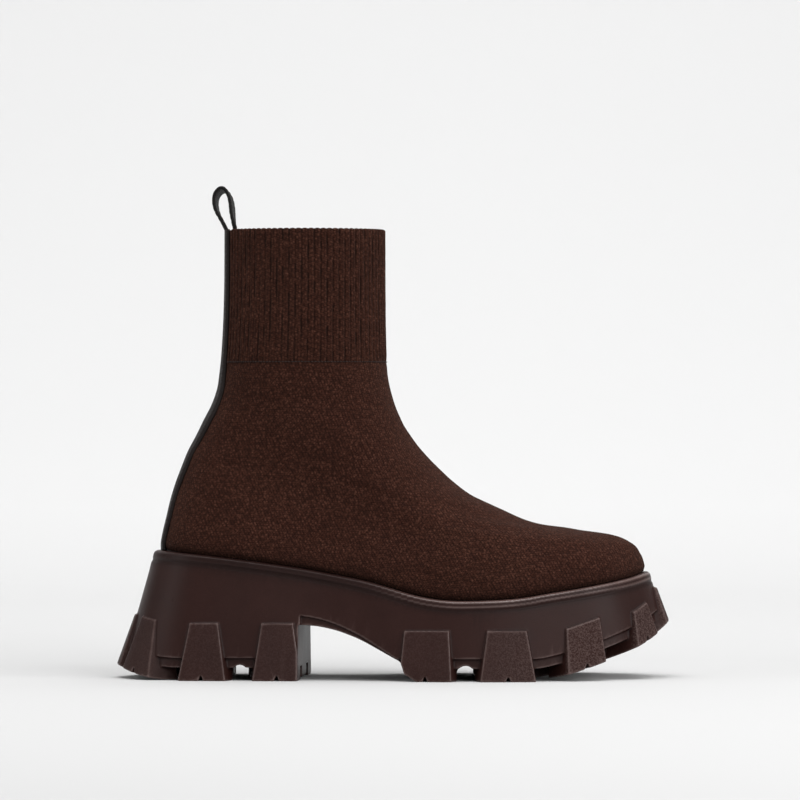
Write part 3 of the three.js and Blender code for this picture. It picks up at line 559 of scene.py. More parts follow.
def combine(piece, other, operation):
    """Join or cut two closed meshes. The other one is used up."""
    modifier = piece.modifiers.new(operation, "BOOLEAN")
    modifier.operation = operation
    modifier.solver = "MANIFOLD"
    modifier.object = other
    shaped(piece)
    used = other.data
    bpy.data.objects.remove(other)
    bpy.data.meshes.remove(used)
    return piece


def grid_uv(faces, u, v, columns):
    """Pattern coordinates for each corner, with the round's last column kept past its seam."""
    width = columns + 1
    corners = []
    for face in faces:
        row_of = [index // columns for index in face]
        column_of = [index % columns for index in face]
        wraps = max(column_of) - min(column_of) > 1
        for row, column in zip(row_of, column_of):
            place = columns if wraps and column == 0 else column
            corners.append((u[row * width + place], v[row * width + place]))
    return corners


# ---- Node helpers

def join(tree, value, socket):
    if isinstance(value, bpy.types.NodeSocket):
        tree.links.new(value, socket)
    else:
        socket.default_value = value


def feed(tree, sockets, **values):
    """Join values to sockets by their labels, with underscores for spaces."""
    for label, value in values.items():
        join(tree, value, sockets[label.replace("_", " ")])


def node(tree, kind, inputs=None, **options):
    made = tree.nodes.new(kind)
    for name, value in options.items():
        setattr(made, name, value)
    for name, value in (inputs or {}).items():
        join(tree, value, made.inputs[name])
    return made


def calc(tree, operation, *values):
    made = node(tree, "ShaderNodeMath", operation=operation)
    for socket, value in zip(made.inputs, values):
        join(tree, value, socket)
    return made.outputs[0]


def times(tree, a, b):
    return calc(tree, "MULTIPLY", a, b)


def times_plus(tree, a, b, c):
    return calc(tree, "MULTIPLY_ADD", a, b, c)


def plus(tree, a, b):
    return calc(tree, "ADD", a, b)


def less(tree, a, b):
    return calc(tree, "SUBTRACT", a, b)


def divided(tree, a, b):
    return calc(tree, "DIVIDE", a, b)


def across_cell(tree, value):
    """Place between two whole numbers, from -1 to 1."""
    return less(tree, times(tree, calc(tree, "FRACT", value), 2.0), 1.0)


def blend_colour(tree, share, a, b):
    made = node(tree, "ShaderNodeMix", {0: share}, data_type="RGBA")
    for value, socket in ((a, made.inputs[6]), (b, made.inputs[7])):
        join(tree, value if isinstance(value, bpy.types.NodeSocket) else (*value, 1.0), socket)
    return made.outputs[2]


def to_range(tree, value, low, high, new_low=0.0, new_high=1.0):
    made = tree.nodes.new("ShaderNodeMapRange")
    for socket, number in zip(made.inputs, (value, low, high, new_low, new_high)):
        join(tree, number, socket)
    return made.outputs[0]


def noise(tree, place, scale, detail, roughness=0.5):
    inputs = {"Vector": place, "Scale": scale, "Detail": detail, "Roughness": roughness}
    return node(tree, "ShaderNodeTexNoise", inputs).outputs


def bump(tree, height, distance):
    inputs = {"Height": height, "Distance": distance, "Strength": 1.0}
    return node(tree, "ShaderNodeBump", inputs).outputs["Normal"]


def object_place(tree):
    return node(tree, "ShaderNodeTexCoord").outputs["Object"]


def noted(tree, name):
    """A number kept with the mesh by note()."""
    return node(tree, "ShaderNodeAttribute", attribute_name=name).outputs["Fac"]


def dimmed(tone, share):
    return [share * c for c in tone]


def new_group(name, inputs, outputs):
    """Node group of number sockets. An input without a default is a vector."""
    group = bpy.data.node_groups.new(name, "ShaderNodeTree")
    for label, default in inputs.items():
        kind = "NodeSocketVector" if default is None else "NodeSocketFloat"
        socket = group.interface.new_socket(label, in_out="INPUT", socket_type=kind)
        if default is not None:
            socket.default_value = default
    for label in outputs:
        group.interface.new_socket(label, in_out="OUTPUT", socket_type="NodeSocketFloat")
    return group, group.nodes.new("NodeGroupInput").outputs, group.nodes.new("NodeGroupOutput").inputs


def place_group(tree, name, **inputs):
    made = tree.nodes.new("ShaderNodeGroup")
    made.node_tree = bpy.data.node_groups[name]
    feed(tree, made.inputs, **inputs)
    return made.outputs


def stitch_group(name):
    """Staggered columns of knitted loops, each a small uneven dome of its own tone."""
    tree, given, out = new_group(
        name, {"Pattern": None, "Wale": 0.002, "Course": 0.0015, "Unevenness": 0.5},
        ("Relief", "Tone", "Gap"))
    sway = noise(tree, given["Pattern"], 420.0, 2.0)["Color"]
    swayed = node(tree, "ShaderNodeSeparateColor", {"Color": sway}).outputs
    uneven = given["Unevenness"]
    push_x, push_y = (times(tree, less(tree, part, 0.5), uneven)
                      for part in swayed[:2])
    parts = node(tree, "ShaderNodeSeparateXYZ", {"Vector": given["Pattern"]}).outputs
    across = plus(tree, divided(tree, parts["X"], given["Wale"]), push_x)
    wale = calc(tree, "FLOOR", across)
    up = plus(tree, divided(tree, parts["Y"], given["Course"]), push_y)
    up = plus(tree, up, times(tree, wale, 0.5))
    cell = node(tree, "ShaderNodeCombineXYZ", {"X": wale, "Y": calc(tree, "FLOOR", up)})
    chance = node(tree, "ShaderNodeTexWhiteNoise", {"Vector": cell.outputs[0]},
                  noise_dimensions="2D").outputs["Value"]
    side, high = across_cell(tree, across), across_cell(tree, up)
    far = plus(tree, times(tree, side, side), times(tree, high, high))
    dome = calc(tree, "MAXIMUM", less(tree, 1.0, far), 0.0)
    stand = times_plus(tree, chance, 0.5, 0.5)
    relief = times(tree, calc(tree, "POWER", dome, 0.6), stand)
    feed(tree, out, Relief=relief, Tone=chance, Gap=to_range(tree, relief, 0.05, 0.5, 1.0, 0.0))


def dot_group(name):
    """Uneven dots where loops of yarn stand up, without any direction."""
    tree, given, out = new_group(name, {"Size": 0.0019, "Spread": 0.8}, ("Relief", "Tone"))
    cells = node(tree, "ShaderNodeTexVoronoi",
                 {"Vector": object_place(tree), "Scale": divided(tree, 1.0, given["Size"]),
                  "Randomness": given["Spread"]}, feature="F1").outputs
    chance = node(tree, "ShaderNodeTexWhiteNoise", {"Vector": cells["Position"]},
                  noise_dimensions="3D").outputs["Value"]
    feed(tree, out, Relief=to_range(tree, cells["Distance"], 0.15, 0.75, 1.0, 0.0), Tone=chance)


def mottle_group(name):
    """Soft clouds and specks of lighter and darker tone."""
    tree, given, out = new_group(name, {"Scale": 60.0, "Speck Scale": 700.0}, ("Cloud", "Speck"))
    place = object_place(tree)
    cloud = noise(tree, place, given["Scale"], 4.0, 0.6)["Fac"]
    speck = noise(tree, place, given["Speck Scale"], 2.0, 0.7)["Fac"]
    feed(tree, out, Cloud=to_range(tree, cloud, 0.3, 0.7), Speck=to_range(tree, speck, 0.3, 0.7))


def grain_group(name):
    """Pebbled grain with fine pores, for moulded rubber and for leather."""
    tree, given, out = new_group(name, {"Scale": 1200.0, "Pore Scale": 3500.0, "Pores": 0.3},
                                 ("Height", "Crease"))
    place = object_place(tree)
    warp = noise(tree, place, given["Scale"], 1.0)["Color"]
    small = node(tree, "ShaderNodeVectorMath", {0: warp, "Scale": 0.0006}, operation="SCALE")
    bent = node(tree, "ShaderNodeVectorMath", {0: place, 1: small.outputs[0]}, operation="ADD")
    cells = node(tree, "ShaderNodeTexVoronoi", {"Vector": bent.outputs[0], "Scale": given["Scale"]},
                 feature="F1")
    pores = noise(tree, place, given["Pore Scale"], 2.0)["Fac"]
    dome = to_range(tree, cells.outputs["Distance"], 0.1, 0.7, 1.0, 0.0)
    fine = times(tree, pores, given["Pores"])
    feed(tree, out, Height=plus(tree, dome, fine), Crease=less(tree, 1.0, dome))


def make_groups():
    for name, make in (("Knit stitches", stitch_group), ("Yarn dots", dot_group),
                       ("Mottle", mottle_group), ("Pebble grain", grain_group)):
        if name not in bpy.data.node_groups:
            make(name)


# ---- Materials

def material_of(name, wire, *given):
    """The material of this name, wired by its function when it is first asked for."""
    if name not in bpy.data.materials:
        material = bpy.data.materials.new(name)
        material.use_nodes = True
        tree = material.node_tree
        wire(tree, tree.nodes["Principled BSDF"].inputs, *given)
    return bpy.data.materials[name]


def wire_knit(tree, shader, wale, course, relief, light, lightest, dark, rib=0.0):
    """Knitted yarn. Pattern coordinates are metres on the flat knit."""
    pattern = node(tree, "ShaderNodeUVMap", uv_map="pattern").outputs["UV"]
    stitches = place_group(tree, "Knit stitches", Pattern=pattern, Wale=wale, Course=course)
    dots = place_group(tree, "Yarn dots", Size=0.0014, Spread=0.9)
    mottle = place_group(tree, "Mottle", Scale=28.0, Speck_Scale=1500.0)
    # Dots and loops take the lighter yarn, partly the yarn's own specks and partly painted highlight
    # where the yarn stands up; the hollows and gaps between them are painted darker as shade.
    dot = times(tree, dots["Relief"], calc(tree, "POWER", dots["Tone"], 1.6))
    tone = times_plus(tree, stitches["Relief"], 0.14, times(tree, dot, 0.58))
    tone = times_plus(tree, mottle["Cloud"], 0.12, tone)
    yarn = blend_colour(tree, tone, light, lightest)
    hollow = times(tree, less(tree, 1.0, dots["Relief"]), 0.55)
    hollow = times_plus(tree, stitches["Gap"], 0.24, hollow)
    shaded = blend_colour(tree, hollow, yarn, dark)
    height = times(tree, dots["Relief"], 0.6)
    height = times_plus(tree, stitches["Relief"], 0.5, height)
    height = times_plus(tree, mottle["Speck"], 0.2, height)
    if rib:
        parts = node(tree, "ShaderNodeSeparateXYZ", {"Vector": pattern}).outputs
        turn = divided(tree, parts["X"], rib)
        furrow = calc(tree, "ABSOLUTE", across_cell(tree, turn))
        stretched = node(tree, "ShaderNodeVectorMath", {0: pattern, 1: (330.0, 90.0, 1.0)},
                         operation="MULTIPLY").outputs[0]
        broken = to_range(tree, noise(tree, stretched, 1.0, 3.0)["Fac"], 0.46, 0.6)
        # Painted shade: the furrows between the ribs are darkened, broken up by noise, as well as
        # sunk in the bump.
        shade = times(tree, to_range(tree, furrow, 0.5, 0.95), broken)
        shaded = blend_colour(tree, times(tree, shade, 0.85), shaded, dark)
        height = times_plus(tree, shade, -0.8, height)
    # Painted shade: the knit darkened just above the sole by the noted shade mask, in place of its
    # contact shadow.
    shaded = blend_colour(tree, times(tree, noted(tree, "shade"), 0.65), shaded, dark)
    feed(tree, shader, Base_Color=shaded, Normal=bump(tree, height, relief), Roughness=0.95,
         Specular_IOR_Level=0.06, Sheen_Weight=0.04, Sheen_Roughness=0.6,
         Sheen_Tint=(0.55, 0.32, 0.24, 1.0))


def yarn_material(name, wale, rib=0.0):
    knit = settings().knit
    return material_of(name, wire_knit, wale, knit.course, knit.stitch_relief, knit.yarn,
                       knit.yarn_light, knit.yarn_dark_and_shade, rib)


def lining_material():
    lining = settings().knit.lining
    return material_of("Sock lining", wire_knit, 0.0013, 0.001, 0.00025, lining,
                       dimmed(lining, 1.6), dimmed(lining, 0.45))


def wire_rubber(tree, shader, rubber, grain_and_highlight):
    """Satin moulded rubber, with painted highlight on its edges and the rim's ridges, and painted
    shade in its corners and grooves.
    """
    mottle = place_group(tree, "Mottle", Scale=30.0, Speck_Scale=1150.0)
    grain = place_group(tree, "Pebble grain", Scale=1500.0, Pore_Scale=4200.0, Pores=0.5)
    speckle = to_range(tree, mottle["Speck"], 0.3, 0.8)
    edge = times(tree, noted(tree, "edge"),
                to_range(tree, mottle["Cloud"], 0.1, 0.8, 0.6, 1.0))
    lug, crevice = noted(tree, "lug"), noted(tree, "crevice")
    tone = blend_colour(tree, mottle["Cloud"], dimmed(rubber, 0.88), dimmed(rubber, 1.15))
    speckled = times(tree, speckle, times(tree, lug, 0.3))
    tone = blend_colour(tree, speckled, tone, grain_and_highlight)
    # Painted highlight: the edges and the rim's ridges made lighter.
    tone = blend_colour(tree, times(tree, edge, 0.9), tone, dimmed(grain_and_highlight, 1.5))
    # Painted shade: the corners, the rim's grooves and the rim at the heel made darker.
    tone = blend_colour(tree, times(tree, crevice, 0.7), tone, dimmed(rubber, 0.3))
    rough = times_plus(tree, mottle["Cloud"], 0.08, 0.4)
    rough = times_plus(tree, lug, 0.12, rough)
    height = times(tree, grain["Height"], times_plus(tree, lug, 0.8, 0.35))
    feed(tree, shader, Base_Color=tone, Roughness=rough, Normal=bump(tree, height, 0.00006),
         Specular_IOR_Level=0.13, Coat_Weight=calc(tree, "POWER", edge, 1.5), Coat_Roughness=0.28)


def wire_leather(tree, shader, scale, hide):
    """Grained leather."""
    grain = place_group(tree, "Pebble grain", Scale=scale, Pore_Scale=5200.0, Pores=0.35)
    mottle = place_group(tree, "Mottle", Scale=90.0, Speck_Scale=1300.0)
    tone = blend_colour(tree, mottle["Cloud"], hide, dimmed(hide, 1.7))
    shade = blend_colour(tree, times(tree, grain["Crease"], 0.6), tone, dimmed(hide, 0.5))
    rough = times_plus(tree, mottle["Cloud"], 0.12, 0.48)
    feed(tree, shader, Base_Color=shade, Roughness=rough, Specular_IOR_Level=0.15,
         Normal=bump(tree, grain["Height"], 0.00012))


def wave(tree, scale, distortion, direction, **inputs):
    inputs = {"Vector": object_place(tree), "Scale": scale, "Distortion": distortion, **inputs}
    made = node(tree, "ShaderNodeTexWave", inputs, bands_direction=direction)
    return made.outputs["Fac"]


def wire_thread(tree, shader, thread):
    """Twisted thread."""
    twist = wave(tree, 1400.0, 2.0, "DIAGONAL", Detail=1.0)
    tone = blend_colour(tree, twist, dimmed(thread, 0.55), dimmed(thread, 1.5))
    feed(tree, shader, Base_Color=tone, Normal=bump(tree, twist, 0.00008), Roughness=0.55)


def thread_material():
    return material_of("Sewing thread", wire_thread, settings().trim.thread_colour)


def wire_board(tree, shader, lining):
    """Woven cover of the insole board."""
    mottle = place_group(tree, "Mottle", Scale=70.0, Speck_Scale=1600.0)
    weave = times(tree, wave(tree, 320.0, 0.6, "X"), wave(tree, 320.0, 0.6, "Y"))
    tone = blend_colour(tree, weave, dimmed(lining, 0.5), dimmed(lining, 1.3))
    clouded = blend_colour(tree, times(tree, mottle["Cloud"], 0.4), tone, lining)
    feed(tree, shader, Base_Color=clouded, Normal=bump(tree, weave, 0.0002), Roughness=0.9)


def wire_seam(tree, shader, yarn):
    """Yarn of the linking seam."""
    mottle = place_group(tree, "Mottle", Scale=400.0, Speck_Scale=2600.0)
    tone = blend_colour(tree, mottle["Cloud"], dimmed(yarn, 0.3), dimmed(yarn, 0.75))
    feed(tree, shader, Base_Color=tone, Normal=bump(tree, mottle["Speck"], 0.0001), Roughness=0.95)


def wire_paper(tree, shader, floor_tone, wall_tone):
    """Pale studio paper."""
    place = object_place(tree)
    paper = noise(tree, place, 3.0, 2.0)["Fac"]
    back = node(tree, "ShaderNodeSeparateXYZ", {"Vector": place}).outputs["Y"]
    share = times_plus(tree, paper, 0.02, to_range(tree, back, 0.2, 1.6, 0.0, 0.98))
    tone = blend_colour(tree, share, [floor_tone] * 3, [wall_tone] * 3)
    feed(tree, shader, Base_Color=tone, Roughness=0.95, Specular_IOR_Level=0.1)


# ---- Knitted foot and cuff

def flat_pattern(turns, ups):
    """Flat cut of the knit with its seam up the back: pattern coordinates in metres."""
    rows, columns = len(ups), len(turns)
    points = grown(turns[None, :], ups[:, None], 0.0).reshape(-1, 3)
    faces = quads_between(rows, columns, closed_round=False)
    piece = add_mesh("flat_pattern", points, faces)
    piece.data.uv_layers.new(name="pattern")
    bpy.context.view_layer.objects.active = piece
    piece.select_set(True)
    bpy.ops.object.mode_set(mode="EDIT")
    bpy.ops.mesh.select_all(action="SELECT")
    bpy.ops.uv.unwrap(method="ANGLE_BASED", margin=0.0)
    bpy.ops.object.mode_set(mode="OBJECT")
    mesh = piece.data
    flat = np.zeros((rows * columns, 2))
    flat[read(mesh.loops, "vertex_index", kind=np.int32)] = read(mesh.uv_layers[0].data, "uv", 2)
    grid = flat.reshape(rows, columns, 2)
    solid = points.reshape(rows, columns, 3)
    true_step = np.linalg.norm(np.diff(solid, axis=0), axis=-1).mean()
    flat_step = np.linalg.norm(np.diff(grid, axis=0), axis=-1).mean()
    grid = grid * (true_step / flat_step)
    upward = (grid[-1] - grid[rows // 2]).mean(axis=0)
    c, s = upward[1] / np.hypot(*upward), upward[0] / np.hypot(*upward)
    grid = grid @ np.array([[c, s], [-s, c]])
    bpy.data.objects.remove(piece)
    bpy.data.meshes.remove(mesh)
    return grid - grid[-1, columns // 2]


def sample_grid(grid, row, column):
    """Read a grid between its points, by straight steps."""
    row = np.clip(row, 0, grid.shape[0] - 1.001)
    column = np.clip(column, 0, grid.shape[1] - 1.001)
    i, j = row.astype(int), column.astype(int)
    a, b = (row - i)[..., None], (column - j)[..., None]
    low = mix(grid[i, j], grid[i, j + 1], b)
    high = mix(grid[i + 1, j], grid[i + 1, j + 1], b)
    return mix(low, high, a)


def make_knit_foot():
    """Foot and ankle knit with its lining, up to the foot of the cuff."""
    foot = settings().foot
    columns = 312
    outside, inside = ((90, 24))
    cells = 60
    pattern_ups = np.linspace(0, 1, cells + 1) ** 1.1
    patterns = [flat_pattern(np.linspace(start, start + math.pi, cells + 1), pattern_ups)
                for start in (0, math.pi)]
    turns = round_turns(columns)
    ups_out = np.linspace(0, 1, outside) ** 1.15
    ups_in = np.linspace(1, 0, inside) ** 1.15
    tuck = foot.tuck * (1 - smoothstep(ups_out, 0.0, 0.035))
    swell = SWELL * wander(turns[None, :] * 3, ups_out[:, None] * 14, 1)
    offset = swell - tuck[:, None] - crease_depth(turns[None, :], ups_out[:, None])
    fade = smoothstep(ups_out, 0.0, 0.03) * (1 - smoothstep(ups_out, 0.96, 1.0))
    offset = (offset + tuck[:, None]) * fade[:, None] - tuck[:, None]
    under_strip = (np.cos(turns) > 0.6)[None, :]
    offset = offset + np.where(under_strip, 0, SWELL) * smoothstep(ups_out, 0.965, 0.99)[:, None]
    out_points = grown(turns[None, :], ups_out[:, None], offset)
    in_points = grown(turns[None, :], ups_in[:, None], -foot.wall)
    points = np.concatenate([out_points, in_points]).reshape(-1, 3)
    rows = outside + inside
    faces = quads_between(rows, columns, closed_up=True)
    half = columns // 2
    half_place = np.linspace(0, cells, half + 1)
    ups = np.concatenate([ups_out, ups_in])
    row_place = np.interp(ups, pattern_ups, np.arange(cells + 1))
    row_place, half_place = np.meshgrid(row_place, half_place, indexing="ij")
    sides = [sample_grid(pattern, row_place, half_place) for pattern in patterns]
    uv = []
    for face in faces:
        row_of = [index // columns for index in face]
        column_of = [index % columns for index in face]
        side = min(column_of) >= half or (max(column_of) - min(column_of) > 1)
        for row, column in zip(row_of, column_of):
            place = column - half * side if column or not side else half
            uv.append(tuple(sides[side][row, place]))
    piece = place_piece("knit_foot", points, faces, "upper", "knit",
                        yarn_material("Foot knit", settings().knit.wale), lining_material(), uv=uv)
    # Painted shade: the knit darkened close above the sole, standing in for the contact shadow there;
    # the lining gets none.
    above = out_points[..., 2] - seat_height(out_points[..., 0])
    shade = np.exp(-np.maximum(above, 0.0) / foot.painted_shade_height).ravel()
    note(piece.data, "shade", np.append(shade, np.zeros(inside * columns)))
    lining = [1 if face[0] // columns >= outside - 1 else 0 for face in faces]
    piece.data.polygons.foreach_set("material_index", lining)
    return piece


def strip_half(z):
    """Half width of the back strip at a height."""
    foot, trim = settings().foot, settings().trim
    keys = [foot.heel_rise, (foot.heel_rise + foot.seam_height) / 2,
            (foot.heel_rise + 3 * foot.seam_height) / 4, foot.seam_height, foot.collar_height]
    values = [trim.strip_foot / 2, (trim.strip_foot + trim.strip_ankle) / 4, trim.strip_ankle / 2,
              (trim.strip_top + trim.strip_ankle) / 4, trim.strip_top / 2]
    return through(keys, values, np.clip(z, keys[0], keys[-1]))


def make_cuff():
    """Ribbed cuff, turned over at the collar, with finer ribs inside."""
    foot, knit = settings().foot, settings().knit
    per_rib = 8
    columns = knit.ribs * per_rib
    turns = round_turns(columns)
    cuff = foot.collar_height - foot.seam_height
    edge, low_step, tucked_in = CUFF_TURN / cuff, CUFF_STEP / cuff, -0.008
    climb_rows, fall_rows = 30, 16
    climb = np.linspace(low_step, 1 - edge, climb_rows)
    bend = np.linspace(0, math.pi, 9)[1:-1]
    fall = np.linspace(1 - edge, 0, fall_rows)
    up = np.concatenate([[tucked_in, low_step * 0.3], climb, 1 - edge + edge * np.sin(bend), fall,
                         [tucked_in]])
    place = np.concatenate([[0.3, 0], np.zeros(climb_rows), (1 - np.cos(bend)) / 2,
                            np.ones(fall_rows), [0.7]])
    lift = np.concatenate([[0.0, 0.6], np.ones(climb_rows), np.cos(bend) * 0.5 + 0.5,
                           np.zeros(fall_rows + 1)])
    sway = RIB_SWAY * wander(turns[None, :] * 1.5, up[:, None] * 5, 2)
    phase = turns[None, :] * knit.ribs / FULL_TURN + sway * 0.6
    ridge = np.abs(np.sin(math.pi * phase)) ** RIB_SHARPNESS
    plain = grown(turns[None, :], 1 + up[:, None], 0.0)
    half = strip_half(plain[..., 2]) + STRIP_ROOM
    beyond = smoothstep(np.abs(plain[..., 1]), half - STRIP_ROOM / 3, half + STRIP_ROOM)
    under_strip = (np.cos(turns)[None, :] > 0) * (1 - beyond)
    ridge = ridge * (1 - under_strip)
    uneven = 1 + RIB_UNEVEN * wander(turns[None, :] * 9, up[:, None] * 9, 3)
    near_seam = (1 - smoothstep(up, 0.0, 0.05))[:, None]
    ridge = mix(ridge, 0.45, near_seam * 0.8)
    stand = 0.00002 + knit.rib_depth * ridge * uneven
    outer = stand * lift[:, None]
    inner = -foot.wall + INNER_RIBS * knit.rib_depth * (1 - ridge)
    offset = mix(outer, inner, place[:, None])
    points = grown(turns[None, :], 1 + up[:, None], offset)
    points[..., 2] -= FURROW_DIP * (1 - ridge) * smoothstep(up, 0.94, 1.0)[:, None]
    rows = len(up)
    faces = quads_between(rows, columns, closed_up=True)
    across = np.linspace(0, knit.ribs, columns + 1) * RIB_PITCH
    path = points[:, columns // 4, :]
    climbed = np.concatenate([[0], np.cumsum(np.linalg.norm(np.diff(path, axis=0), axis=-1))])
    u = np.broadcast_to(across[None, :], (rows, columns + 1)).ravel()
    v = np.broadcast_to(climbed[:, None], (rows, columns + 1)).ravel()
    return place_piece("ribbed_cuff", points, faces, "upper", "knit",
                       yarn_material("Rib knit", RIB_PITCH / 2, RIB_PITCH),
                       uv=grid_uv(faces, u, v, columns))


def make_cuff_seam():
    """Chain of small loops that links the cuff to the foot."""
    knit = settings().knit
    count = knit.ribs * 2
    starts = (np.arange(count) + 0.5) / count * FULL_TURN
    sweep = FULL_TURN / count * 0.36
    lift = np.array([0.0001, 0.00042, 0.00042, 0.0001])
    runs = []
    for turn in starts:
        at = grown(np.array([turn]), np.array([1.0]), 0.0)[0]
        if math.cos(turn) > 0 and abs(at[1]) < strip_half(at[2]) + 0.001:
            continue
        turns = turn + np.array([-sweep, -sweep * 0.4, sweep * 0.4, sweep])
        runs.append(grown(turns, np.full(4, 1.004), lift))
    return place_piece("cuff_seam", *thread_runs(runs, SEAM_YARN), "upper", "knit",
                       material_of("Seam yarn", wire_seam, knit.yarn))


def thread_runs(runs, radius, sides=6):
    """Closed little tubes along short runs of points, joined in one mesh."""
    points, faces = [], []
    for run in runs:
        run = np.asarray(run, float)
        way = unit(np.gradient(run, axis=0))
        aside = unit(np.cross(way, np.array([0.31, 0.17, 0.93])))
        over = np.cross(way, aside)
        first = len(points)
        last = len(run) - 1
        for k, centre in enumerate(run):
            r = radius * (0.55 if k in (0, last) else 1.0)
            for j in range(sides):
                angle = FULL_TURN * j / sides
                points.append(centre + r * (math.cos(angle) * aside[k] + math.sin(angle) * over[k]))
        faces += tube_faces(len(run), sides, first)
    return points, faces


# ---- Insole board

def make_insole():
    """Cloth-covered board on the footbed."""
    foot = settings().foot
    turns = round_turns(160)
    inset = foot.wall + 0.0006
    rings = []
    for rise, draw in BOARD_EDGE:
        ring = grown(turns, np.zeros(len(turns)), -inset - draw)
        ring[:, 2] += rise
        rings.append(ring + np.array(HEEL_BACK))
    cloth = material_of("Sock board cloth", wire_board, settings().knit.lining)
    return seat_piece(loft("insole_board", rings), "insole", "lining", cloth)


# ---- Back strip and pull loop

def strip_place(up, side, offset):
    """Point on the back of the boot at a share of the strip's half width."""
    sweep = np.linspace(-1.35, 1.35, 241)
    line = grown(sweep, np.full(241, up), offset)
    half = float(strip_half(line[120, 2]))
    turn = np.interp(np.asarray(side) * half, line[::-1, 1], sweep[::-1])
    return grown(turn, np.full(np.shape(turn), up), offset)


def make_back_strip():
    """Leather strip up the heel, ankle and cuff, with turned edges."""
    foot, trim = settings().foot, settings().trim
    rows = 200
    ups = np.linspace(0.0, 2.0, rows)
    across = [(-side, off) for side, off in STRIP_EDGE] + STRIP_EDGE[-2::-1]
    sides, off = np.array(across, float).T
    crown = 1 - off
    points = []
    for up in ups:
        turned = strip_place(up, sides, foot.gap + trim.strip_thickness)
        base = strip_place(up, sides, 0.2 * foot.gap)
        points.append(np.concatenate([mix(base, turned, crown[:, None]), base[::-1]]))
    points[0][:, 2] -= 3 * foot.gap
    columns = 2 * len(sides)
    faces = [face[::-1] for face in tube_faces(rows, columns)]
    leather = material_of("Strip leather", wire_leather, 1500.0, trim.strip_leather_and_sheen)
    return place_piece("leather_strip", np.concatenate(points), faces, "back_strip", "strip", leather)


def make_strip_stitches():
    """A row of stitches along each edge of the back strip."""
    foot, trim = settings().foot, settings().trim
    runs = []
    for side in (-1, 1):
        line = []
        for up in np.linspace(0.03, 1.985, 500)[::5]:
            z = form_point(np.array([0.0]), np.array([up]))[0, 2]
            share = side * (1 - 0.0017 / float(strip_half(z)))
            line.append(strip_place(up, np.array([share]), foot.gap + 0.93 * trim.strip_thickness)[0])
        runs += stitches_along(np.array(line), trim)
    return place_piece("strip_stitches", *thread_runs(runs, trim.thread), "back_strip", "strip",
                       thread_material())


def stitches_along(line, trim):
    """Short runs of five points for stitches on a line of points."""
    step = np.linalg.norm(np.diff(line, axis=0), axis=-1)
    run = np.concatenate([[0], np.cumsum(step)])
    runs = []
    start = 0.4 * trim.stitch_pitch
    while start + trim.stitch_length < run[-1]:
        at = start + trim.stitch_length * np.array([0, 0.22, 0.5, 0.78, 1])
        runs.append(np.stack([np.interp(at, run, line[:, k]) for k in range(3)], axis=-1))
        start += trim.stitch_pitch
    return runs


def loop_line(steps):
    """Middle line of the tape in the boot's middle plane, and its direction."""
    foot, trim = settings().foot, settings().trim
    outer_x = foot.ankle_set - foot.gap - trim.strip_thickness / 2
    inner_x = foot.ankle_set + foot.wall + foot.gap + trim.tape_thickness / 2
    middle_x = (outer_x + inner_x) / 2
    points = [(outer_x, foot.collar_height - 0.0002)]
    points += [(middle_x + across * trim.loop_spread, foot.collar_height + high * trim.loop_height)
               for across, high in LOOP]
    points += [(inner_x + foot.gap, foot.collar_height),
               (inner_x + foot.gap, foot.collar_height - trim.leg_length)]
    points = np.array(points)
    place = np.linspace(0, len(points) - 1, steps)
    low = np.minimum(place.astype(int), len(points) - 2)
    t = (place - low)[:, None]
    p0, p1 = points[np.maximum(low - 1, 0)], points[low]
    p2, p3 = points[low + 1], points[np.minimum(low + 2, len(points) - 1)]
    v0, v1 = (p2 - p0) / 2, (p3 - p1) / 2
    line = ((2 * p1 - 2 * p2 + v0 + v1) * t ** 3 + (-3 * p1 + 3 * p2 - 2 * v0 - v1) * t ** 2
            + v0 * t + p1)
    return line, unit(np.gradient(line, axis=0))


def settle_tape(points):
    """Low down the tape follows the collar's round, and higher up it turns and rolls."""
    foot, trim = settings().foot, settings().trim
    back_round = (foot.shaft_width / 2) ** 2 / (foot.shaft_depth / 2)
    y, z = points[:, 1].copy(), points[:, 2].copy()
    free = smoothstep(z, foot.collar_height, foot.collar_height + trim.loop_height / 2)
    points[:, 0] += y * y / (2 * back_round) * (1 - free) + y * trim.yaw * free
    points[:, 2] = z - y * trim.roll * free
    return points


def make_pull_loop():
    """Flat leather tape bent on edge, both ends sewn to the collar."""
    trim = settings().trim
    steps = 90
    line, way = loop_line(steps)
    half_w, half_t = trim.tape_width / 2, trim.tape_thickness / 2
    section = []
    rounding = half_t * 0.7
    corner_y, corner_t = half_w - rounding, half_t * 0.3
    for k, (sign_y, sign_t) in enumerate(((1, 1), (-1, 1), (-1, -1), (1, -1))):
        for angle in np.linspace(0, math.pi / 2, 4) + k * math.pi / 2:
            section.append((sign_y * corner_y + rounding * math.cos(angle),
                            sign_t * corner_t + rounding * math.sin(angle)))
        if k in (0, 2):
            section += [(sign_y * s * corner_y, sign_t * half_t * 0.97) for s in (0.5, 0.0, -0.5)]
    points = [(x - wz * t, y, z + wx * t) for (x, z), (wx, wz) in zip(line, way) for y, t in section]
    points = settle_tape(np.array(points))
    faces = [face[::-1] for face in tube_faces(steps, len(section))]
    leather = material_of("Loop leather", wire_leather, 1700.0, trim.leather)
    return place_piece("leather_loop", points, faces, "pull_loop", "loop_tape", leather)


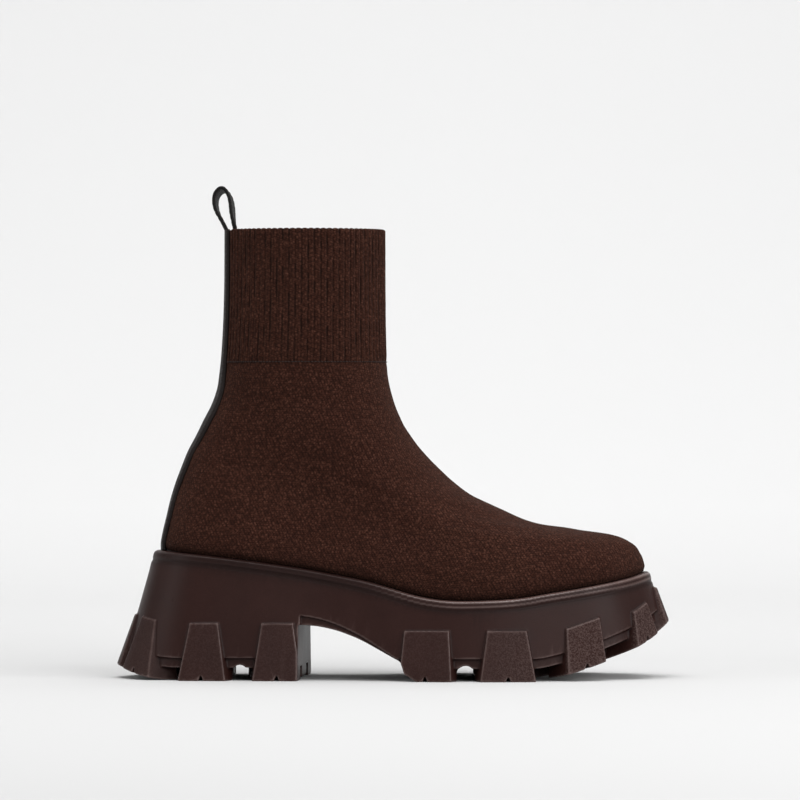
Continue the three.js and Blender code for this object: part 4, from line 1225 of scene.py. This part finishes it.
def make_loop_stitches():
    """Rows of stitches along the tape's edges, on its outer face and its inner one."""
    trim = settings().trim
    steps, from_edge = 160, 0.0016
    line, way = loop_line(steps)
    runs = []
    for face in (-1, 1):
        for side in (-1, 1):
            t = face * trim.tape_thickness / 2 * 0.99
            across = np.full(steps, side * (trim.tape_width / 2 - from_edge))
            path = np.stack([line[:, 0] - way[:, 1] * t, across, line[:, 1] + way[:, 0] * t], axis=-1)
            runs += stitches_along(settle_tape(path)[4:-3], trim)
    return place_piece("loop_stitches", *thread_runs(runs, trim.thread * 0.9), "pull_loop",
                       "loop_tape", thread_material())


# ---- Sole

def sole_edge(turn):
    """Rim of the sole, its outward direction, wall flare, share of heel and toe, and top."""
    sole = settings().sole
    turn = np.asarray(turn, float)
    way = form_point(turn + 0.01, 0.0) - form_point(turn - 0.01, 0.0)
    way[..., 2] = 0
    way = unit(way)
    out = np.stack([way[..., 1], -way[..., 0], 0 * way[..., 0]], axis=-1)
    end = np.abs(out[..., 0]) ** 1.5
    stand = mix(sole.rim_side, np.where(out[..., 0] > 0, sole.rim_toe, sole.rim_heel), end)
    foot = form_point(turn, 0.0)
    return (foot + out * stand[..., None], out, mix(sole.flare_side, sole.flare_end, end), end,
            seat_height(foot[..., 0]))


def tread_height(x):
    foot, sole = settings().foot, settings().sole
    behind = np.maximum(sole.heel_flat - x, 0) / sole.heel_bevel_length
    flat_end = foot.foot_length + sole.rim_toe - sole.spring_length
    ahead = np.maximum(x - flat_end, 0) / sole.spring_length
    return (sole.heel_bevel_rise * behind ** 2.2 + sole.spring_rise * ahead ** 1.3
            + sole.tip_lift * ahead ** 8)


def wall_point(turn, height, proud):
    sole = settings().sole
    rim, out, flare, _, top = sole_edge(turn)
    run = (top - sole.rim_height - height) * flare + RIM[0][1] * sole.rim_height + proud
    point = rim + out * run[..., None]
    point[..., 2] = height
    return point


def wall_above(turn, above, proud):
    """Wall at a height above the underside of the tread."""
    turn = np.asarray(turn, float)
    height = tread_height(sole_edge(turn)[0][..., 0]) + above
    for _ in range(4):
        height = tread_height(wall_point(turn, height, proud)[..., 0]) + above
    return wall_point(turn, height, proud)


def wall_block(name, turns, *levels):
    """Closed block inside the wall, through pairs of a height and how far it stands proud."""
    return loft(name, [wall_above(turns, above, proud) for above, proud in levels])


def box_between(name, low, high):
    corners = [(x, y, z) for z in (low[2], high[2]) for x, y in
               ((low[0], low[1]), (high[0], low[1]), (high[0], high[1]), (low[0], high[1]))]
    return add_mesh(name, np.array(corners), BOX_FACES)


def prism(name, outline, to_world, depth):
    """Straight prism from a flat outline (counter-clockwise), along its third direction."""
    count = len(outline)
    points = [to_world(a, b, 0.0) for a, b in outline] + [to_world(a, b, depth) for a, b in outline]
    faces = [tuple(range(count))[::-1], tuple(range(count, 2 * count))]
    faces += [(j, (j + 1) % count, count + (j + 1) % count, count + j) for j in range(count)]
    piece = add_mesh(name, np.array(points), faces)
    make_outward(piece)
    return piece


def make_outward(piece):
    """Turn the faces out where a prism was made left-handed."""
    mesh = piece.data
    mesh.calc_loop_triangles()
    volume = 0.0
    for triangle in mesh.loop_triangles:
        a, b, c = (mesh.vertices[index].co for index in triangle.vertices)
        volume += a.dot(b.cross(c))
    if volume < 0:
        mesh.flip_normals()


def lug_rows():
    """Every lug as its turn round the foot, the width that its shares are of, and the shares."""
    foot, sole = settings().foot, settings().sole
    arch_end = sole.heel_length + sole.arch_length
    tread = foot.foot_length - arch_end
    heel_width, tread_width = sole.heel_lug * sole.heel_length, sole.tread_lug * tread
    rows = [(0.0, heel_width, BACK_LUG), (math.pi, tread_width, TIP_LUG)]
    for table, start, span, width in ((HEEL_LUGS, 0.0, sole.heel_length, heel_width),
                                      (TREAD_LUGS, arch_end, tread, tread_width)):
        for outer, inner, *shape in table:
            outer_turn, inner_turn = (math.acos(1 - 2 * (start + at * span) / foot.foot_length)
                                      for at in (outer, inner))
            rows.append((outer_turn, width, shape))
            rows.append((FULL_TURN - inner_turn, width, shape))
    return rows


def lug_place(turn):
    """Foot of a lug's outer face on the wall, and the way out."""
    turn = np.array([turn])
    return wall_above(turn, 0.0, settings().sole.lug_foot)[0], sole_edge(turn)[1][0]


def lug_block(turn, width, shape):
    """Six flat sides with bevelled flanks, and a top that follows the tread."""
    sole = settings().sole
    foot, out = lug_place(turn)
    along = np.array([-out[1], out[0], 0.0])
    foot_width, top_width = shape[0] * width, shape[1] * width
    tall = shape[2] * sole.lug_height
    below = sole.lug_reach / 2
    outside = -2 * sole.lug_bevel
    narrow = sole.lug_bevel * (1 - outside / sole.lug_foot) / 2
    reach = 0.001
    climb = float(tread_height(foot[0] + reach) - tread_height(foot[0] - reach))
    lean = along[0] * climb / (2 * reach)

    def ring(height, width, lift):
        inner = (sole.lug_reach, lift, width + 2 * sole.lug_bevel)
        outer = (outside, -lift, width - 2 * narrow)
        corners = []
        for side, (inward, rise, wide) in ((-1, inner), (-1, outer), (1, outer), (1, inner)):
            point = foot + along * side * wide / 2 - out * inward
            corners.append((point[0], point[1], height + rise + lean * side * wide / 2))
        return corners

    slope = (foot_width - top_width) / tall
    points = ring(foot[2] - below, foot_width + slope * below, 0.0)
    points += ring(foot[2] + tall, top_width, sole.lug_bevel)
    piece = add_mesh("lug", np.array(points), BOX_FACES)
    make_outward(piece)
    return piece


def lug_notch(turn):
    """Small pointed notch under the middle of a lug."""
    sole = settings().sole
    foot, out = lug_place(turn)
    start = foot + out * sole.lug_bevel
    aside = np.array([out[1], -out[0], 0.0])
    outline = [(-sole.notch_width, -sole.notch_height), (sole.notch_width, -sole.notch_height),
               (0.0, sole.notch_height)]
    place = lambda a, b, d: start + aside * a - out * d + np.array([0, 0, b])
    return prism("notch", outline, place, sole.notch_depth)


def arch_hollow(lift, inset):
    """Hollow of the arch from the breast to the tread, slanting forward to the inner side."""
    foot, sole = settings().foot, settings().sole
    start = sole.heel_length + inset
    outline = [(start, -foot.heel_rise), (start, 0.0)]
    at = np.linspace(0, ARCH[-1][0], 40)
    rise = np.interp(at, *zip(*ARCH))
    smooth = np.convolve(np.pad(rise, 2, mode="edge"), np.ones(5) / 5, mode="valid")
    rise = np.where(at < 0.9, smooth, rise)
    for a, r in zip(at, rise):
        x = max(start, sole.heel_length + a * sole.arch_length)
        outline.append((x, r * sole.arch_height + lift * max(1 - a, 0)))
    outline.append((sole.heel_length + ARCH[-1][0] * sole.arch_length, -foot.heel_rise))
    wide = 2 * foot.ball_half_width
    place = lambda a, b, d: np.array([a + sole.breast_slant * (wide - d), wide - d, b])
    return prism("arch", outline, place, 2 * wide)


def tunnel_bore(middle, width):
    foot, sole = settings().foot, settings().sole
    half = width / 2
    outline = [(middle - half, -sole.tunnel_rise), (middle + half, -sole.tunnel_rise)]
    outline += [(middle + half * math.cos(a), sole.tunnel_rise - half + half * math.sin(a))
                for a in np.linspace(0, math.pi, 17)]
    wide = 2 * foot.ball_half_width
    return prism("tunnel", outline, lambda a, b, d: np.array([a, wide - d, b]), 2 * wide)


def sole_body(turns):
    """Wall, step and rim of the sole, filled down to the grooves between the lugs."""
    sole = settings().sole
    rim, out, _, end, top = sole_edge(turns)
    rings = [wall_above(turns, sole.groove, -sole.step_inset),
             wall_above(turns, sole.step_height - STEP_EDGE, -sole.step_inset),
             wall_above(turns, sole.step_height, 0.0)]
    low = rings[-1][:, 2]
    for share in (0.3, 0.6, 0.9):
        rings.append(wall_point(turns, mix(low, top - sole.rim_height, share), 0.0))
    for place in np.linspace(0, len(RIM) - 1, 41):
        drop, side, far = (float(through(range(len(RIM)), column, place)) for column in zip(*RIM))
        ring = rim + out * (mix(side, far, end) * sole.rim_height)[:, None]
        ring[:, 2] = top - max(drop, 0.0) * sole.rim_height
        rings.append(ring)
    return loft("moulded_sole", rings)


def sole_lugs(turns):
    """All lugs, cut to the wall's slope and notched underneath."""
    sole = settings().sole
    rows = lug_rows()
    lugs = lug_block(*rows[0])
    for row in rows[1:]:
        combine(lugs, lug_block(*row), "UNION")
    top = sole.lug_height + 2 * sole.lug_bevel
    combine(lugs, wall_block("envelope", turns, (0.0, sole.lug_foot), (top, sole.lug_top)),
            "INTERSECT")
    for turn, _, _ in rows:
        combine(lugs, lug_notch(turn), "DIFFERENCE")
    return lugs


def arch_lip(turns):
    """Thin hollow in the wall along the arch, which leaves the lip."""
    sole = settings().sole
    high, far, past = sole.arch_height + 2 * sole.lip_height, 2 * sole.lug_foot, 0.002
    skin = wall_block("skin", turns, (0.0, far), (high, far))
    core = wall_block("core", turns, (-past, -sole.lip_inset), (high + past, -sole.lip_inset))
    combine(skin, core, "DIFFERENCE")
    return combine(arch_hollow(sole.lip_height, 0.001), skin, "INTERSECT")


def make_sole():
    """Moulded sole: rim bead, wall, step, bevelled lugs, tread pads, tunnels and arch."""
    foot, sole = settings().foot, settings().sole
    turns = round_turns(288)
    body = sole_body(turns)
    combine(body, sole_lugs(turns), "UNION")

    arch_end = sole.heel_length + sole.arch_length
    tunnels = [(HEEL_TUNNEL[0] * sole.heel_length, HEEL_TUNNEL[1]),
               (arch_end + TREAD_TUNNEL[0] * (foot.foot_length - arch_end), TREAD_TUNNEL[1])]
    pads = wall_block("pads", turns, (PAD_LOW, -sole.pad_inset), (PAD_HIGH, -sole.pad_inset))
    wide = 2 * foot.ball_half_width
    for middle, width in tunnels:
        low, high = (middle - width / 2, -wide, -BORE), (middle + width / 2, wide, BORE)
        combine(pads, box_between("slab", low, high), "DIFFERENCE")
    for row in PAD_GROOVES:
        combine(pads, pad_groove(*row), "DIFFERENCE")
    combine(body, pads, "UNION")
    for tunnel in tunnels:
        combine(body, tunnel_bore(*tunnel), "DIFFERENCE")
    combine(body, arch_hollow(0.0, 0.0), "DIFFERENCE")
    combine(body, arch_lip(turns), "DIFFERENCE")

    remesh = body.modifiers.new("moulded", "REMESH")
    remesh.mode = "VOXEL"
    remesh.voxel_size = sole.rounding * 1.0
    soften = body.modifiers.new("soften", "SMOOTH")
    soften.factor = 0.5
    soften.iterations = 2
    shaped(body)
    mark_edges(body.data)
    thin = body.modifiers.new("thin", "DECIMATE")
    thin.ratio = min(1.0, SOLE_FACES / max(1, 2 * len(body.data.polygons)))
    shaped(body)
    mark_lugs(body.data)
    body.data.materials.clear()
    body.data.transform(Matrix.Translation(HEEL_BACK))
    body.data.polygons.foreach_set("use_smooth", [True] * len(body.data.polygons))
    rubber = material_of("Moulded rubber", wire_rubber, sole.rubber, sole.rubber_grain_and_highlight)
    return seat_piece(body, "sole", "sole_rubber", rubber)


def pad_groove(x, half, high):
    """Short slanting groove under a middle pad, closed at both ends."""
    outline = [(-half, -0.010), (half, -0.010), (half, high), (-half, high)]
    start = x - GROOVE_WIDTH / 2
    place = lambda a, b, d: np.array([start + d + GROOVE_SLANT * a, a + 0.002, b])
    return prism("groove", outline, place, GROOVE_WIDTH)


def mark_edges(mesh):
    """Note the outward edges, which are painted lighter as highlight, and the corners, which are
    painted darker as shade.
    """
    co = read(mesh.vertices, "co", 3).astype(float)
    normal = read(mesh.vertex_normals, "vector", 3)
    ends = read(mesh.edges, "vertices", 2, np.int32)
    total, near = np.zeros(co.shape), np.zeros(len(co))
    for a, b in ((0, 1), (1, 0)):
        np.add.at(total, ends[:, a], co[ends[:, b]])
        np.add.at(near, ends[:, a], 1)
    bulge = np.einsum("ij,ij->i", co - total / near[:, None], normal) / settings().sole.rounding
    for _ in range(3):
        spread = np.zeros(len(co))
        for a, b in ((0, 1), (1, 0)):
            np.add.at(spread, ends[:, a], bulge[ends[:, b]])
        bulge = 0.5 * bulge + 0.5 * spread / near
    for name, amount in (("edge", bulge), ("crevice", -bulge)):
        note(mesh, name, np.clip((amount - EDGE_START) * EDGE_GAIN, 0, 1))


def marks(drop, table):
    """Soft lines at the drops of a table."""
    return sum(strength * np.exp(-((drop - at) / spread) ** 2) for at, spread, strength in table)


def mark_lugs(mesh):
    """Note the lugs, which are rougher, and the ridges and grooves of the rim, for painted highlight
    and shade.
    """
    sole = settings().sole
    co = read(mesh.vertices, "co", 3).astype(float)
    turns = round_turns(240)
    rim, out, _, _, top = sole_edge(turns)
    wall = np.concatenate([wall_above(turns, high, 0.0) for high in np.arange(0.0, 0.036, 0.002)])
    tree = KDTree(len(wall))
    for index, point in enumerate(wall):
        tree.insert(point, index)
    tree.balance()
    nearest = np.array([tree.find(point)[1] for point in co])
    column = nearest % len(turns)
    out = out[column]
    proud = np.einsum("ij,ij->i", co - wall[nearest], out)
    low = co[:, 2] - tread_height(co[:, 0]) < sole.lug_height + 2 * sole.lug_bevel
    rougher_ahead = 0.5 + 2.0 * smoothstep(co[:, 0], 0.15, 0.23)
    note(mesh, "lug", smoothstep(proud, 0.0002, 0.0008) * low * rougher_ahead)
    drop = (top[column] - co[:, 2]) / sole.rim_height
    outside = np.einsum("ij,ij->i", co - rim[column], out) > -0.003
    # Painted light from the toe side: the rim's ridge highlights fade towards the heel, where the rim
    # is painted darker as shade.
    forward = 0.12 + 0.88 * smoothstep(co[:, 0], 0.09, 0.16)
    edge = read(mesh.attributes["edge"].data, "value")
    in_rim = outside & (drop < RIM_ZONE)
    note(mesh, "edge", np.where(in_rim, marks(drop, RIM_RIDGE_HIGHLIGHTS) * forward, 0.7 * edge))
    # Painted shade: the rim at the heel darkened, away from the light.
    shade = 0.85 * (1.0 - forward) * smoothstep(drop, -0.1, 0.05)
    shade = shade * smoothstep(RIM_ZONE - drop, 0.0, 0.2)
    crevice = read(mesh.attributes["crevice"].data, "value")
    dark = np.maximum(0.8 * marks(drop, RIM_GROOVE_SHADES), shade) * outside
    note(mesh, "crevice", np.maximum(crevice, dark))


# ---- Stage

def make_backdrop():
    front, bend, round_up, height, half_width = -5.0, 1.2, 1.4, 5.0, 6.0
    profile = [(front, 0.0), (bend, 0.0)]
    profile += [(bend + round_up * math.sin(a), round_up - round_up * math.cos(a))
                for a in np.linspace(0.1, math.pi / 2, 14)]
    profile += [(bend + round_up, height)]
    points = [(x, y, z) for y, z in profile for x in (-half_width, half_width)]
    faces = [(2 * i, 2 * i + 1, 2 * i + 3, 2 * i + 2) for i in range(len(profile) - 1)]
    piece = add_mesh("studio_backdrop", points, faces)
    stage = settings().stage
    paper = material_of("Studio paper", wire_paper, stage.floor_tone, stage.wall_tone)
    piece.data.materials.append(paper)
    return piece


def add_softbox(name, place, target, size, size_y, power):
    light = bpy.data.lights.new(name, "AREA")
    light.shape = "RECTANGLE"
    light.size, light.size_y = size, size_y
    light.energy = power
    lamp = bpy.data.objects.new(name, light)
    lamp.location = place
    lamp.rotation_euler = (Vector(target) - Vector(place)).to_track_quat("-Z", "Y").to_euler()
    bpy.context.scene.collection.objects.link(lamp)
    return lamp


def make_stage():
    """Camera at the photograph's view, softboxes, room light and backdrop."""
    stage = settings().stage
    scene = bpy.context.scene
    camera_data = bpy.data.cameras.new("photo_camera")
    camera_data.lens = camera_data.sensor_width * stage.camera_distance / stage.frame_width
    camera = bpy.data.objects.new("photo_camera", camera_data)
    camera.location = (stage.camera_side, -stage.camera_distance, stage.camera_height)
    camera.rotation_euler = (math.pi / 2, 0, 0)
    scene.collection.objects.link(camera)
    scene.camera = camera
    make_backdrop()
    for name, power, place, target, width, height in SOFTBOXES:
        add_softbox(name, place, target, width, height, getattr(stage, power))
    world = bpy.data.worlds.new("studio_room")
    world.use_nodes = True
    feed(world.node_tree, world.node_tree.nodes["Background"].inputs, Color=(1.0, 1.0, 1.0, 1.0),
         Strength=stage.sky)
    scene.world = world
    scene.view_settings.view_transform = "Standard"
    scene.view_settings.look = "None"


# ---- Operators

def run(*steps):
    make_groups()
    for step in steps:
        step()
    return {"FINISHED"}


class BOOT_OT_stage(bpy.types.Operator):
    """Add the camera, lights and backdrop"""
    bl_idname = "boot.stage"
    bl_label = "Stage"

    def execute(self, context):
        return run(make_stage)


class BOOT_OT_knit_foot(bpy.types.Operator):
    """Add the knitted foot and its lining"""
    bl_idname = "boot.knit_foot"
    bl_label = "Knitted foot"

    def execute(self, context):
        return run(make_knit_foot)


class BOOT_OT_cuff(bpy.types.Operator):
    """Add the ribbed cuff and its linking seam"""
    bl_idname = "boot.cuff"
    bl_label = "Ribbed cuff"

    def execute(self, context):
        return run(make_cuff, make_cuff_seam)


class BOOT_OT_insole(bpy.types.Operator):
    """Add the insole board"""
    bl_idname = "boot.insole"
    bl_label = "Insole board"

    def execute(self, context):
        return run(make_insole)


class BOOT_OT_trim(bpy.types.Operator):
    """Add the back strip and the pull loop with their stitches"""
    bl_idname = "boot.trim"
    bl_label = "Strip and loop"

    def execute(self, context):
        return run(make_back_strip, make_strip_stitches, make_pull_loop, make_loop_stitches)


class BOOT_OT_sole(bpy.types.Operator):
    """Add the moulded sole"""
    bl_idname = "boot.sole"
    bl_label = "Moulded sole"

    def execute(self, context):
        return run(make_sole)


OPERATORS = (BOOT_OT_stage, BOOT_OT_knit_foot, BOOT_OT_cuff, BOOT_OT_insole, BOOT_OT_trim,
             BOOT_OT_sole)
SIZE_GROUPS = (FootSizes, KnitSizes, TrimSizes, SoleSizes, StageSettings, BootSettings)


class BOOT_PT_panel(bpy.types.Panel):
    """Pieces of the boot"""
    bl_idname = "BOOT_PT_panel"
    bl_label = "Sock boot"
    bl_space_type = "VIEW_3D"
    bl_region_type = "UI"
    bl_category = "Boot"

    def draw(self, context):
        for operator in OPERATORS:
            self.layout.operator(operator.bl_idname)
        for name in ("foot", "knit", "trim", "sole", "stage"):
            box = self.layout.box()
            box.label(text=name.capitalize())
            group = getattr(context.scene.sock_boot, name)
            for prop in group.bl_rna.properties:
                if prop.identifier not in ("rna_type", "name"):
                    box.prop(group, prop.identifier)


def register():
    for kind in SIZE_GROUPS + OPERATORS + (BOOT_PT_panel,):
        bpy.utils.register_class(kind)
    bpy.types.Scene.sock_boot = PointerProperty(type=BootSettings)


def unregister():
    del bpy.types.Scene.sock_boot
    for kind in reversed(SIZE_GROUPS + OPERATORS + (BOOT_PT_panel,)):
        bpy.utils.unregister_class(kind)


def main():
    register()
    bpy.ops.boot.stage()
    bpy.ops.boot.knit_foot()
    bpy.ops.boot.cuff()
    bpy.ops.boot.insole()
    bpy.ops.boot.trim()
    bpy.ops.boot.sole()


if __name__ == "__main__":
    main()
